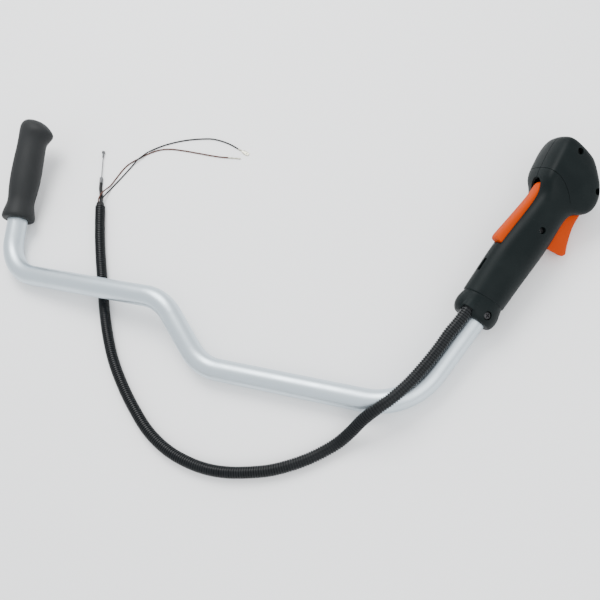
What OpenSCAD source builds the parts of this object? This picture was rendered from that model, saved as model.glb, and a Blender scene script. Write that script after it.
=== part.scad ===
// Brush cutter handlebar: one bent tube with a plain left grip, a throttle handle on the right,
// and the corrugated conduit that carries the throttle cable and the two stop switch leads.
// Millimetres. The origin is on the tube's axis at the middle of the straight clamp section,
// +X along that section towards the throttle handle, +Z up from the surface the bar lies on.

/* [Tube] */
// Outer diameter of the bent tube
tube_d = 25; // [22:0.5:28]
// Wall thickness of the tube
tube_wall = 2; // [1.5:0.1:3]
// Length of the clamp section, corner to corner
clamp_len = 238.2; // [210:1:300]
// Run of the step towards the left
step_run = 62; // [50:1:80]
// Run of the step towards the grips
step_back = 63; // [50:1:80]
// Height the step climbs above the clamp section
step_lift = 24; // [23:0.5:30]
// Run of the left arm, corner to corner
arm_run = 246; // [200:1:300]
// Run of the left arm towards the grips
arm_back = 10.4; // [0:0.2:20]
// Height the left arm falls towards its elbow
arm_fall = 26.5; // [20:0.5:30]
// Compass angle of the left upright, from +X
left_turn = 98.1; // [85:0.1:110]
// Lean of the left upright above the surface
left_lean = 10; // [6:0.5:16]
// Length of the left upright, corner to tube end
left_len = 204; // [180:1:240]
// Compass angle of the right upright, from +X
right_turn = 65.8; // [60:0.1:75]
// Lean of the right upright above the surface
right_lean = 4.3; // [4:0.1:8]
// Length of the right upright, corner to tube end
right_len = 200; // [190:1:205]
// Bend radius of the left elbow
elbow_r = 50; // [42:1:55]
// Bend radius of the two bends of the step
step_r = 50; // [45:1:55]
// Bend radius of the right bend
right_r = 70; // [60:1:80]

/* [Left grip] */
// Start of the grip, measured along the upright from its corner
grip_start = 69; // [60:1:80]
// Length of the grip
grip_len = 143; // [130:1:150]
// Radius of the flared lower rim
grip_rim_r = 21; // [18:0.5:22]
// Radius of the neck above the rim
grip_neck_r = 16.8; // [15.5:0.1:18]
// Radius of the palm swell
grip_palm_r = 19.2; // [17.5:0.1:21]
// Reach of the nose at the upper end
grip_nose = 25; // [22:0.5:27]

/* [Throttle handle] */
// Angle of the palm side above the surface
palm_angle = 42; // [38:1:44]
// Start of the handle, measured along the upright from its corner
handle_start = 108; // [100:1:112]
// Wall thickness of the two shells
shell_wall = 2.6; // [2:0.1:3.2]
// Extra depth of the rear half of the head
head_rear_depth = 27.5; // [24:0.1:29]
// Radial gap between the tube and its saddles
saddle_gap = 0.05; // [0.02:0.01:0.1]
// Running gap of the levers on their pins
pin_gap = 0.05; // [0.02:0.01:0.09]
// Radius of the trigger's pin
trigger_pin_r = 2; // [1.5:0.1:2.5]
// Radius of the interlock lever's pin
lock_pin_r = 1.5; // [1.2:0.1:2]
// Thickness of the trigger
trigger_w = 14; // [12:0.5:15]
// Width of the interlock lever
lock_w = 14; // [13:0.5:16]
// Gap on each side of a lever in its slot
slot_gap = 0.6; // [0.4:0.1:1]

/* [Cables] */
// Outer diameter of the corrugated conduit
conduit_d = 13; // [11:0.5:13]
// Outer diameter of the throttle cable's sheath
sheath_d = 4.5; // [4:0.1:5]
// Diameter of the throttle cable's inner wire
wire_d = 1.4; // [1:0.1:1.6]
// Outer diameter of a switch lead
lead_d = 1.8; // [1.4:0.1:2]

/* [Hidden] */
$fn = 48;

floor_z = -tube_d / 2;
tube_r = tube_d / 2;
far = 400;

// Vector helpers
function unit(v) = v / norm(v);
function turned(turn, lean) = [cos(lean) * cos(turn), cos(lean) * sin(turn), sin(lean)];

// Corners of the tube's centre line
left_corner = [-clamp_len / 2, 0, 0];
right_corner = [clamp_len / 2, 0, 0];
step_corner = left_corner + [-step_run, step_back, step_lift];
elbow_corner = step_corner + [-arm_run, arm_back, -arm_fall];
left_dir = turned(left_turn, left_lean);
right_dir = turned(right_turn, right_lean);
left_end = elbow_corner + left_len * left_dir;
right_end = right_corner + right_len * right_dir;
corners = [left_end, elbow_corner, step_corner, left_corner, right_corner, right_end];
bend_radii = [0, elbow_r, step_r, step_r, right_r, 0];

function into(i) = unit(corners[i] - corners[i - 1]);
function out_of(i) = unit(corners[i + 1] - corners[i]);
function bend_angle(i) = acos(into(i) * out_of(i));
function tangent_len(i) =
    i == 0 || i == len(corners) - 1 ? 0 : bend_radii[i] * tan(bend_angle(i) / 2);

// A cylinder from p to q
module rod(p, q, r) {
    v = q - p;
    translate(p)
        rotate([0, acos(v[2] / norm(v)), atan2(v[1], v[0])])
            cylinder(h = norm(v), r = r);
}

// One bend of the tube's centre line as a ring sector of radius r, a hair fatter than the rods
module bend(i, r) {
    u = into(i);
    start = corners[i] - tangent_len(i) * u;
    inward = unit(out_of(i) - u - ((out_of(i) - u) * u) * u);
    centre = start + bend_radii[i] * inward;
    side = cross(-inward, u);
    multmatrix([
        [-inward[0], u[0], side[0], centre[0]],
        [-inward[1], u[1], side[1], centre[1]],
        [-inward[2], u[2], side[2], centre[2]],
        [0, 0, 0, 1]])
        rotate_extrude(angle = bend_angle(i), $fn = 96)
            translate([bend_radii[i], 0]) circle(r = r + 0.05);
}

// The whole bent centre line as a round bar of radius r, its rods let a little into the bends
module bent_bar(r) {
    for (i = [0 : len(corners) - 2])
        rod(corners[i] + (tangent_len(i) - (i > 0 ? 0.5 : 0)) * out_of(i),
            corners[i + 1] - (tangent_len(i + 1) - (i < len(corners) - 2 ? 0.5 : 0)) * out_of(i), r);
    for (i = [1 : len(corners) - 2]) bend(i, r);
}

// Frame of an upright: +Z runs along it from its corner
module on_upright(corner, turn, lean, roll) {
    translate(corner) rotate([0, 90 - lean, turn]) rotate([0, 0, roll]) children();
}

// The left grip's frame: +X points to the right bend
module on_left() { on_upright(elbow_corner, left_turn, left_lean, -90) children(); }

// The throttle handle's frame: +X is the palm side, +Y the front shell with the screw heads
module on_right() { on_upright(right_corner, right_turn, right_lean, 90 + palm_angle) children(); }

// The same frame as a function, for points
handle_z = right_dir;
handle_left = [-sin(right_turn), cos(right_turn), 0];
handle_up = cross(handle_z, handle_left);
handle_x = cos(palm_angle) * handle_left + sin(palm_angle) * handle_up;
handle_y = cross(handle_z, handle_x);
function in_handle(p) = right_corner + p[0] * handle_x + p[1] * handle_y + p[2] * handle_z;

// Skins a list of rings, each a list of points that runs anticlockwise about the way forward
module skin(rings) {
    n = len(rings[0]);
    m = len(rings);
    sides = [for (i = [0 : m - 2], k = [0 : n - 1])
        let (a = i * n + k, b = i * n + (k + 1) % n, c = b + n, d = a + n)
            each [[a, d, c], [a, c, b]]];
    bottom = [for (k = [0 : n - 1]) k];
    top = [for (k = [n - 1 : -1 : 0]) (m - 1) * n + k];
    polyhedron(points = [for (r = rings) each r], faces = concat(sides, [bottom], [top]), convexity = 8);
}

// Direction of a route at its point i
function route_dir(pts, i) =
    unit(pts[min(i + 1, len(pts) - 1)] - pts[max(i - 1, 0)]);

// A tube of radius r with n sides, swept along a route
module sweep(pts, r, n, up = [0, 0, 1]) {
    skin([for (i = [0 : len(pts) - 1])
        let (t = route_dir(pts, i), side = unit(cross(t, up)), lift = cross(side, t))
            [for (k = [0 : n - 1])
                pts[i] + r * (cos(360 * k / n) * side - sin(360 * k / n) * lift)]]);
}

// Signed power, which shapes the oval sections
function spow(v, e) = sign(v) * pow(abs(v), e);

// One oval section: x from lo to hi, y from -rear to front, squarer as n grows
function oval(z, lo, hi, front, rear, n, sides) =
    [for (k = [0 : sides - 1])
        let (t = 360 * k / sides, c = spow(cos(t), 2 / n), s = spow(sin(t), 2 / n))
            [(lo + hi) / 2 + (hi - lo) / 2 * c, (s > 0 ? front : rear) * s, z]];

module handlebar_tube() {
    color("silver")
        difference() {
            bent_bar(tube_r);
            bent_bar(tube_r - tube_wall);
            on_right() translate([0, far / 2, collar_bolt_z])
                rotate([90, 0, 0]) cylinder(h = far, r = collar_bolt_r + 0.1);
        }
}

// Left grip sections: distance from the grip's start, left reach, right reach, depth
grip_rows = [
    [0, grip_rim_r - 5, grip_rim_r - 5, grip_rim_r - 5],
    [1.5, grip_rim_r - 1.5, grip_rim_r - 1.5, grip_rim_r - 1.5],
    [4, grip_rim_r, grip_rim_r, grip_rim_r],
    [8, grip_rim_r - 0.6, grip_rim_r - 0.6, grip_rim_r - 0.6],
    [14, grip_neck_r + 2.2, grip_neck_r + 2.2, grip_neck_r + 2.2],
    [21, grip_neck_r + 0.4, grip_neck_r + 0.4, grip_neck_r + 0.4],
    [28, grip_neck_r, grip_neck_r, grip_neck_r],
    [38, grip_neck_r + 1.2, grip_neck_r + 1.2, grip_neck_r + 1],
    [50, grip_palm_r - 0.3, grip_palm_r - 0.1, grip_palm_r - 0.4],
    [66, grip_palm_r, grip_palm_r + 0.2, grip_palm_r],
    [84, grip_palm_r - 0.2, grip_palm_r, grip_palm_r - 0.3],
    [100, grip_palm_r - 0.4, grip_palm_r - 0.6, grip_palm_r - 0.8],
    [110, grip_palm_r - 0.2, grip_palm_r - 0.6, grip_palm_r - 0.8],
    [115, grip_palm_r, grip_palm_r + 0.8, grip_palm_r - 0.4],
    [119, grip_palm_r + 0.4, grip_nose - 2.2, grip_palm_r],
    [123.6, grip_palm_r + 0.6, grip_nose, grip_palm_r + 0.4],
    [128, grip_palm_r + 0.6, grip_nose - 1, grip_palm_r],
    [133, grip_palm_r + 0.2, grip_nose - 4.6, grip_palm_r - 1.4],
    [138, grip_palm_r - 1.4, grip_nose - 10.8, grip_palm_r - 4.5],
    [141, grip_palm_r - 4, grip_nose - 17.5, grip_palm_r - 8],
    [143, grip_palm_r - 7, grip_nose - 23.4, grip_palm_r - 12]];

module left_grip() {
    stretch = grip_len / 144;
    color("#33373a")
        on_left() difference() {
            skin([for (row = grip_rows)
                oval(grip_start + row[0] * stretch, -row[1], row[2], row[3], row[3], 2, 28)]);
            translate([0, 0, grip_start - 1])
                cylinder(h = left_len - grip_start + 1.3, r = tube_r + saddle_gap);
        }
}

// Slant of the collar's sections across the handle
collar_slant = 0.12;

// Throttle handle sections: distance along the upright, finger side, palm side, front, rear, squareness
// and slant
head_d = head_rear_depth;
handle_rows = [
    [4.4, -15.5, 22.4, 15.5, 15, 2.2, collar_slant],
    [7, -19.2, 26, 18.6, 17, 2.2, collar_slant],
    [11, -21, 28, 20, 17.6, 2.2, collar_slant],
    [17.5, -21, 28.6, 20, 17.6, 2.2, collar_slant],
    [23, -18.4, 28, 19.4, 17.4, 2.2, collar_slant],
    [29, -16, 27.4, 19, 17.2, 2.2, collar_slant],
    [29.5, -17.6, 28.6, 20.2, 18.4, 2.1, collar_slant],
    [62, -17.4, 29.6, 19.8, 19, 2.1, 0],
    [104, -17.8, 31, 20, 19.6, 2.1, 0],
    [124, -15.8, 30, 20.2, 20, 2.2, 0],
    [140, -13, 29.8, 20.6, 20.8, 2.4, 0],
    [150, -12.6, 31, 21, 21.8, 2.7, 0],
    [157, -15.6, 34.4, 21.6, 23.4, 3.4, 0],
    [162, -22.4, 38.4, 22, 25, 4.2, 0],
    [168, -27, 41, 22.6, head_d - 1, 4.8, 0],
    [174, -28, 42.4, 23, head_d, 5, 0],
    [182, -27.8, 43.8, 23, head_d, 5, 0],
    [190, -24.2, 45, 23, head_d, 5, 0],
    [198, -17.4, 45.6, 22.8, head_d - 0.3, 4.6, 0],
    [205, -7, 46, 21.8, head_d - 2, 4, 0],
    [210, 2.6, 46, 19, 21, 3.4, 0],
    [213.4, 10.4, 45.2, 15.4, 17, 3, 0],
    [216, 18.2, 43.2, 10, 11.4, 2.6, 0],
    [217.2, 23.4, 40, 5.6, 6.4, 2.4, 0]];

// The handle's outer or, with a wall taken off, inner form, between two distances
module handle_form(inset, first, last) {
    rows = [for (row = handle_rows) if (row[0] >= first && row[0] <= last) row];
    skin([for (row = rows)
        [for (p = oval(handle_start + row[0], row[1] + inset, row[2] - inset,
            row[3] - inset, row[4] - inset, row[5], 28)) p - [0, 0, row[6] * p[0]]]]);
}

// Places inside the handle, as [x, z] in its frame
trigger_pivot = [-6, handle_start + 174];
lock_pivot = [26, handle_start + 158];
nipple_spot = [22, handle_start + 172];
screw_spots = [[26, handle_start + 207], [-16.5, handle_start + 189], [7.2, handle_start + 118]];
// Height of each screw head's seat above the parting plane
screw_seats = [13, 13, 14.5];
collar_bolt_z = handle_start + 14;
collar_bolt_r = 2.5;
boss_r = 4.2;
boss_face = trigger_w / 2 + 0.5;
rib_t = 3;
rib_spots = [handle_start + 42, handle_start + 76, right_len + 1.2];
socket_at = [17.2, 10.3];
socket_z = handle_start + 16;
hood_r = conduit_d / 2 + 2.1;
trigger_slot = [handle_start + 109.5, handle_start + 168];
lock_slot = [handle_start + 82.5, handle_start + 164.5];
slider_at = [14, handle_start + 186];
slider_travel = 6;
contact_y = -20;
contact_from = 171;
post_from = 186;
seat_spot = [14.4, handle_start + 122.1];
seat_len = 6;
seat_r = 3;
lock_spring_at = [19, handle_start + 132];

// A cylinder across the handle, along its Y, between two heights
module across(spot, from, to, r) {
    translate([spot[0], to, spot[1]]) rotate([90, 0, 0]) cylinder(h = to - from, r = r);
}

// What stands in the handle's cavity: ribs with their cable notch, and the bosses
module handle_ribs() {
    for (z = rib_spots) difference() {
        translate([-far / 2, -far / 2, z]) cube([far, far, rib_t]);
        translate([12, -9, z - 1]) cube([13, 22, rib_t + 2]);
    }
    // seat of the cable's ferrule, seat of the interlock lever's spring and stop of the trigger's
    difference() {
        translate([10, 0, handle_start + 123]) cube([9, far / 2, 4]);
        translate([seat_spot[0], 0, handle_start + 120]) cylinder(h = 10, r = seat_r + 0.03);
    }
    translate([17, 0, lock_spring_at[1] - 3.5]) cube([lock_spring_at[0] - 17.05, far / 2, 7]);
    across([8, handle_start + 181.2], 5.6, far / 2, 1.6);
    // rests of the switch's two contacts
    translate([9, -far / 2, handle_start + 171]) cube([4, far / 2 + contact_y - 0.02, 4.4]);
    translate([15, -far / 2, handle_start + 200]) cube([4, far / 2 + contact_y - 0.02, 4]);
    difference() {
        union() {
            for (spot = screw_spots) across(spot, -far / 2, far / 2, boss_r);
            across(trigger_pivot, -far / 2, far / 2, trigger_pin_r + 2.5);
            across(lock_pivot, -far / 2, far / 2, lock_pin_r + 2.2);
        }
        for (spot = [trigger_pivot, lock_pivot]) across(spot, -boss_face, boss_face, boss_r + 2);
    }
}

// Hood of the collar over the conduit
module conduit_hood() {
    translate([socket_at[0], socket_at[1], handle_start + 9]) {
        cylinder(h = 8, r = hood_r);
        translate([0, 0, 8]) cylinder(h = 9, r1 = hood_r, r2 = hood_r - 3.6);
    }
}

// One half of the handle: front is 1 for the half with the screw heads, -1 for the other
module handle_half(front) {
    difference() {
        intersection() {
            union() {
                handle_form(0, 0, 220);
                conduit_hood();
            }
            translate([-far / 2, front > 0 ? 0 : -far, 0]) cube([far, far, far]);
        }
        difference() {
            handle_form(shell_wall, 29.5, 216);
            handle_ribs();
        }
        translate([0, 0, handle_start - 1])
            cylinder(h = right_len - handle_start + 1.2, r = tube_r + saddle_gap);
        translate([socket_at[0], socket_at[1], handle_start - 1])
            cylinder(h = socket_z - handle_start + 1, r = conduit_d / 2 + 0.3);
        translate([socket_at[0] - 0.4, socket_at[1] - 0.4, socket_z - 1])
            cylinder(h = handle_start + 31 - socket_z, r = 4.7);
        translate([-far, -trigger_w / 2 - slot_gap, trigger_slot[0]])
            cube([far - 6, trigger_w + 2 * slot_gap, trigger_slot[1] - trigger_slot[0]]);
        translate([18, -lock_w / 2 - slot_gap, lock_slot[0]])
            cube([far, lock_w + 2 * slot_gap, lock_slot[1] - lock_slot[0]]);
        across(trigger_pivot, -17.2, 17.2, trigger_pin_r + pin_gap);
        across(lock_pivot, -15.2, 15.2, lock_pin_r + pin_gap);
        across([0, collar_bolt_z], -far / 2, far / 2, collar_bolt_r + 0.1);
    }
}

module handle_front_shell() {
    color("#2f3537") on_right() difference() {
        handle_half(1);
        for (i = [0 : len(screw_spots) - 1]) {
            across(screw_spots[i], -1, far / 2, screw_r + 0.2);
            across(screw_spots[i], screw_seats[i], far / 2, screw_head_r + 0.3);
        }
        across([0, collar_bolt_z], 15.5, far / 2, collar_head_r + 0.3);
    }
}

module handle_rear_shell() {
    color("#2b3133") on_right() difference() {
        handle_half(-1);
        for (spot = screw_spots) across(spot, -12.5, 1, screw_r + 0.02);
        translate([0, -nut_face, collar_bolt_z]) rotate([90, 0, 0])
            cylinder(h = far, r = nut_across / 2 / cos(30) + 0.2, $fn = 6);
        translate([slider_at[0] - 3.4, -far, slider_at[1] - 4.4])
            cube([6.8, far - 15, slider_travel + 8.8]);
    }
}

screw_r = 1.7;
screw_head_r = 3.3;
screw_tip = -12;
collar_head_r = 4.3;
nut_across = 8;
nut_t = 4;
// the nut's inner face lies just outside the tube
nut_face = tube_r + 1.9;

// A pan head screw across the handle with its head's underside at seat
module pan_screw(spot, seat, tip, r, head_r) {
    difference() {
        union() {
            across(spot, tip, seat, r);
            across(spot, seat, seat + head_r * 0.75, head_r);
        }
        across(spot, seat + head_r * 0.2, seat + head_r, head_r * 0.45);
    }
}

module handle_screws() {
    color("#3a3d40") on_right()
        for (i = [0 : len(screw_spots) - 1])
            pan_screw(screw_spots[i], screw_seats[i], screw_tip, screw_r, screw_head_r);
}

module collar_bolt() {
    color("#3a3d40") on_right()
        pan_screw([0, collar_bolt_z], 15.5, -nut_face - 3.2, collar_bolt_r, collar_head_r);
}

module collar_nut() {
    color("silver") on_right() difference() {
        translate([0, -nut_face, collar_bolt_z]) rotate([90, 0, 0])
            cylinder(h = nut_t, r = nut_across / 2 / cos(30), $fn = 6);
        across([0, collar_bolt_z], -nut_face - nut_t - 1, -nut_face + 1, collar_bolt_r + 0.02);
    }
}

// Outline of the trigger in the handle's X and Z, from the nose of its blade round to its hub
trigger_outline = [
    [-20, 172], [-24.4, 167], [-24.9, 160], [-24.4, 154], [-24.2, 148], [-25.2, 142], [-27.2, 135],
    [-30.4, 128], [-34, 122.6], [-34.6, 120.6], [-33.8, 118.6], [-32, 117.2], [-29.4, 116.8],
    [-20, 117.8], [-14.2, 118.6], [-12.2, 119.8], [-11.5, 122], [-10.6, 130], [-9, 146],
    [-4, 160], [2, 168.6], [9, 170], [20, 169], [24, 169.4], [25.4, 172], [24, 174.8], [20, 175.6],
    [8, 176.8], [0, 181], [-6, 182], [-12, 179.6]];

module throttle_trigger() {
    color("#e0561c") on_right() difference() {
        translate([0, trigger_w / 2, handle_start]) rotate([90, 0, 0])
            linear_extrude(height = trigger_w) polygon(trigger_outline);
        across(trigger_pivot, -far / 2, far / 2, trigger_pin_r + pin_gap);
        // the arm to the cable is thinner than the blade
        for (s = [-1, 1]) translate([3, s * 10 - (s < 0 ? 0 : 6.5), handle_start + 150])
            cube([60, 6.5, 60]);
        // slot for the wire and cross hole for its nipple
        across(nipple_spot, -far / 2, far / 2, nipple_r + 0.05);
        translate([nipple_spot[0] - 1.5, -1, handle_start + 150]) cube([3, 2, 22]);
        // room for the return spring beside the hub, and for its fixed leg
        across(trigger_pivot, spring_y - 0.8, far, 5.4);
        translate([trigger_pivot[0], spring_y + 1.2, trigger_pivot[1] - 0.4]) cube([20, 10, 8]);
    }
}

module trigger_pin() {
    color("silver") on_right() across(trigger_pivot, -17, 17, trigger_pin_r);
}

// Points of a torsion spring: a straight leg, turns about an axis along Y, and a second leg
function coil_route(spot, y0, r, pitch, turns, first, leg_a, leg_b) = concat(
    [leg_a],
    [for (k = [0 : 12 * turns])
        let (t = first + 30 * k)
            [spot[0] + r * cos(t), y0 + pitch * k / 12, spot[1] + r * sin(t)]],
    [leg_b]);

spring_wire_r = 0.5;
// the return spring lies inside the trigger's front face
spring_y = trigger_w / 2 - 3.6;

module trigger_spring() {
    route = coil_route(trigger_pivot, spring_y, 3.6, 1.2, 2.5, -60,
        trigger_pivot_point([-2.6, spring_y, -3.8]),
        trigger_pivot_point([15, spring_y + 3.2, 4.7]));
    color("silver") on_right() sweep(route, spring_wire_r, 6, [0, 1, 0]);
}

function trigger_pivot_point(p) = [trigger_pivot[0] + p[0], p[1], trigger_pivot[1] + p[2]];
function lock_pivot_point(p) = [lock_pivot[0] + p[0], p[1], lock_pivot[1] + p[2]];

// Outline of the interlock lever in the handle's X and Z
lock_outline = [
    [27.4, 84.6], [33.4, 84.2], [35.4, 85], [36.2, 87], [36.2, 90], [35, 100], [33.8, 113],
    [33, 128], [32.8, 141], [33.2, 152], [33, 157], [31.6, 160.6], [28.6, 162.4], [24.6, 162],
    [20.8, 157.6], [21.6, 152], [24.6, 144], [26.2, 130], [27, 112], [26.4, 96], [26, 86]];

module interlock_lever() {
    color("#f2661f") on_right() difference() {
        translate([0, lock_w / 2, handle_start]) rotate([90, 0, 0])
            linear_extrude(height = lock_w) polygon(lock_outline);
        across(lock_pivot, -far / 2, far / 2, lock_pin_r + pin_gap);
        // the lever is a thin-walled channel, open to the inside
        translate([0, -lock_w / 2 + 2, handle_start + 90]) cube([29.6, lock_w - 4, 52]);
    }
}

module interlock_pin() {
    color("silver") on_right() across(lock_pivot, -15, 15, lock_pin_r);
}

module interlock_spring() {
    color("silver") on_right() translate([lock_spring_at[0] + 0.4, 2.5, lock_spring_at[1]])
        rotate([0, 90, 0]) sweep([for (k = [0 : 48])
            [2 * cos(30 * k), 2 * sin(30 * k), 9.7 * k / 48]], 0.35, 6);
}

module stop_slider() {
    x = slider_at[0];
    z = slider_at[1];
    y = -head_d;
    color("#1f2224") on_right() difference() {
        union() {
            translate([x - 6, y - 3, z - 9]) cube([12, 2.6, 18]);
            translate([x - 3, y - 1, z - 4]) cube([6, 8, 8]);
            translate([x - 5, y + 4.4, z - 6]) cube([10, 2.6, 12]);
        }
        for (k = [-2 : 2]) translate([x - 7, y - 3.5, z + 2.6 * k - 0.6]) cube([14, 1.3, 1.2]);
    }
}

module contact_blade() {
    color("#c8a24a") on_right() translate([9.5, contact_y, handle_start + contact_from])
        cube([3, 0.5, 19]);
}

module contact_post() {
    color("#c8a24a") on_right() translate([15.5, contact_y, handle_start + post_from])
        cube([3, 0.5, 18]);
}

// The conduit's own way over the ground, from the handle's collar to its open end
conduit_route = concat(
    [in_handle([socket_at[0], socket_at[1], socket_z - 0.1]),
     in_handle([socket_at[0], socket_at[1], handle_start + 6]),
     in_handle([socket_at[0], socket_at[1], handle_start - 8])],
    [[147.4, 79.5, 25.6], [139.8, 62, 23.8], [129.4, 41, 22], [117.4, 20, 21], [103.6, 1, 20.4],
     [90, -12.5, 17.2], [78, -23.8, 9.8], [68, -35.4, 1.8], [56.8, -47.8, -3.8], [44, -59.4, -5.8],
     [30, -70.6, -6], [12.8, -81.6, -6], [-7, -91.6, -6], [-28, -98.6, -6], [-49.4, -103.8, -6],
     [-72, -106.2, -6], [-98, -104.4, -6], [-127.8, -97, -6], [-157, -82.6, -6],
     [-182, -63.4, -6], [-207, -40.4, -6], [-233, -11.4, -6], [-254.4, 19.6, -6],
     [-271, 48.6, -6], [-285.6, 77.6, -6], [-301, 107.4, -6], [-315.4, 137.4, -6],
     [-326, 162, -6], [-335, 184, -6]]);

module conduit() {
    color("#26292b") sweep(conduit_route, conduit_d / 2 - 0.01, 12);
}

conduit_end = conduit_route[len(conduit_route) - 1];
conduit_way = route_dir(conduit_route, len(conduit_route) - 1);
plug_len = 6;

// Tapered rubber plug in the conduit's open end, which the sheath and the leads leave
module conduit_end_plug() {
    color("#1c1e20") translate(conduit_end + 0.05 * conduit_way)
        rotate([0, 90, atan2(conduit_way[1], conduit_way[0])])
            rotate_extrude() polygon([[0, 0], [5.6, 0], [5.6, 1.4], [4.6, plug_len], [0, plug_len]]);
}

plug_face = conduit_end + (plug_len + 0.1) * conduit_way;

// The throttle cable beyond the conduit
cable_turn = 109;
cable_dir = turned(cable_turn, 0);
sheath_end = [-352, 221, -10.2];
sheath_route = [plug_face + [0, 0, -2.2], plug_face + [0, 0, -2.2] + 5 * conduit_way, [-344.4, 204.5, -9.4],
    sheath_end - 8 * cable_dir, sheath_end];
ferrule_len = 9;
wire_show = 40;
wire_travel = 7.3;
nipple_r = 2.5;

module cable_sheath() {
    color("#1e2022") sweep(sheath_route, sheath_d / 2, 8);
}

module cable_end_ferrule() {
    color("silver") translate(sheath_end + 0.1 * cable_dir) rotate([0, 90, cable_turn]) difference() {
        cylinder(h = ferrule_len, r = 2.3);
        translate([0, 0, -1]) cylinder(h = ferrule_len + 2, r = wire_d / 2 + 0.15);
    }
}

module throttle_wire() {
    start = sheath_end + (ferrule_len - 0.9) * cable_dir;
    color("gray") rod(start, start + wire_show * cable_dir, wire_d / 2);
}

module wire_nipple() {
    start = sheath_end + (ferrule_len - 0.9 + wire_show) * cable_dir;
    color("silver") translate(start) rotate([0, 90, cable_turn]) rotate_extrude()
        polygon([[0, 0], [wire_d / 2, 0], [wire_d / 2, -6], [1.2, -6], [1.2, 0.6], [2.1, 1],
            [2.2, 3.6], [1.8, 4], [0, 4]]);
}

// The throttle cable inside the handle
module sheath_in_handle() {
    pts = [[17.4, 12, 16.2], [17, 10.8, 28], [16.8, 8.4, 50], [15.9, 5.2, 80], [15.4, 2.6, 100],
        [14.6, 0.4, 114], [14.4, 0, 122]];
    color("#1e2022") on_right()
        sweep([for (p = pts) [p[0], p[1], handle_start + p[2]]], sheath_d / 2, 8, [0, 1, 0]);
}

module handle_end_ferrule() {
    color("silver") on_right() translate([seat_spot[0], 0, seat_spot[1]]) difference() {
        cylinder(h = seat_len, r = seat_r);
        translate([0, 0, -1]) cylinder(h = seat_len + 2, r = wire_d / 2 + 0.15);
    }
}

module wire_in_handle() {
    color("gray") on_right() rod([seat_spot[0], 0, seat_spot[1] + seat_len + 0.1],
        [nipple_spot[0] - 0.6, 0, nipple_spot[1] - nipple_r - 0.1], wire_d / 2);
}

module trigger_nipple() {
    color("silver") on_right() across(nipple_spot, -3.2, 3.2, nipple_r);
}

// The two stop switch leads beyond the conduit
lead_z = floor_z + lead_d / 2;
black_route = [plug_face + [2.4, 1, 1.4], plug_face + [2.4, 1, 1.4] + 4 * conduit_way,
    [-335.6, 202, -8], [-336, 208, -10.4], [-335.4, 214, lead_z], [-331.2, 222.6, lead_z],
    [-327, 231.2, lead_z], [-322.8, 240.2, lead_z], [-318.9, 249, lead_z], [-315.4, 256.4, lead_z + 0.4],
    [-311.8, 262.3, lead_z + 1.5], [-306.8, 268.4, lead_z + 2], [-302, 274.8, lead_z + 1.5],
    [-297, 280.2, lead_z + 0.4], [-284, 288.7, lead_z], [-267, 296.2, lead_z], [-250, 301.5, lead_z],
    [-233, 304.8, lead_z], [-215.2, 306.5, lead_z], [-198, 304, lead_z], [-185, 300, lead_z],
    [-173.5, 295.1, lead_z]];
brown_route = [plug_face + [-1.4, -0.6, 2], plug_face + [-1.4, -0.6, 2] + 5 * conduit_way,
    [-341.4, 199.6, -4.8], [-341.4, 206, -6.6], [-339.8, 213, -9.4], [-336.8, 221, lead_z],
    [-331.8, 236.4, lead_z], [-328.4, 246, lead_z], [-323.8, 254.4, lead_z], [-313.2, 264.4, lead_z],
    [-301.1, 273.8, lead_z], [-286.7, 281.6, lead_z], [-271.7, 284.8, lead_z],
    [-250.2, 284.5, lead_z], [-230, 283, lead_z],
    [-209, 281.2, lead_z], [-194, 280.4, lead_z], [-183, 280.6, lead_z]];

module black_lead() {
    color("#15171a") sweep(black_route, lead_d / 2, 8);
}

module brown_lead() {
    color("#4a2a1e") sweep(brown_route, lead_d / 2, 8);
}

function route_end(pts) = pts[len(pts) - 1];
function route_end_dir(pts) = route_dir(pts, len(pts) - 1);

// A crimp barrel on the end of a lead, with its tongue or pin ahead of it
module black_terminal() {
    way = route_end_dir(black_route);
    color("silver") translate(route_end(black_route) + 0.05 * way)
        rotate([0, 0, atan2(way[1], way[0])]) union() {
            rotate([0, 90, 0]) cylinder(h = 7, r = lead_d / 2);
            translate([6.5, -2.4, -0.4]) difference() {
                cube([12, 4.8, 0.8]);
                translate([9, 2.4, -1]) cylinder(h = 3, r = 0.9);
            }
        }
}

module brown_terminal() {
    way = route_end_dir(brown_route);
    color("silver") translate(route_end(brown_route) + 0.05 * way)
        rotate([0, 0, atan2(way[1], way[0])]) rotate([0, 90, 0]) rotate_extrude()
            polygon([[0, 0], [0.9, 0], [0.9, 8], [0.7, 8.4], [0.7, 11], [0.88, 12], [0.8, 17],
                [0.4, 18], [0, 18]]);
}

// A lead's way inside the handle, from the conduit's end to its contact
module inner_lead(pts) {
    on_right() sweep([for (p = pts) [p[0], p[1], handle_start + p[2]]], lead_d / 2, 8, [0, 1, 0]);
}

module black_lead_in_handle() {
    color("#15171a") inner_lead([[15.2, 8, 16.2], [15.6, 7.6, 28], [16.4, 0.8, 46], [15.4, -4.4, 70], [15, -5.4, 86],
        [14.4, -6, 98], [13.2, -9.5, 116], [12.4, -14.5, 140], [11.4, -18, 158],
        [11, -19, 165], [11, -19, contact_from - 0.1]]);
}

module brown_lead_in_handle() {
    color("#4a2a1e") inner_lead([[19.4, 8.2, 16.2], [19.2, 7.4, 28], [19.2, 1.6, 46], [17.4, -1.6, 70], [16.6, -2.4, 86],
        [16.6, -3.4, 98], [16.8, -7.5, 116], [17.4, -13, 140], [17.6, -18, 166], [17, -19, 176],
        [17, -19, post_from - 0.1]]);
}

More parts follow.
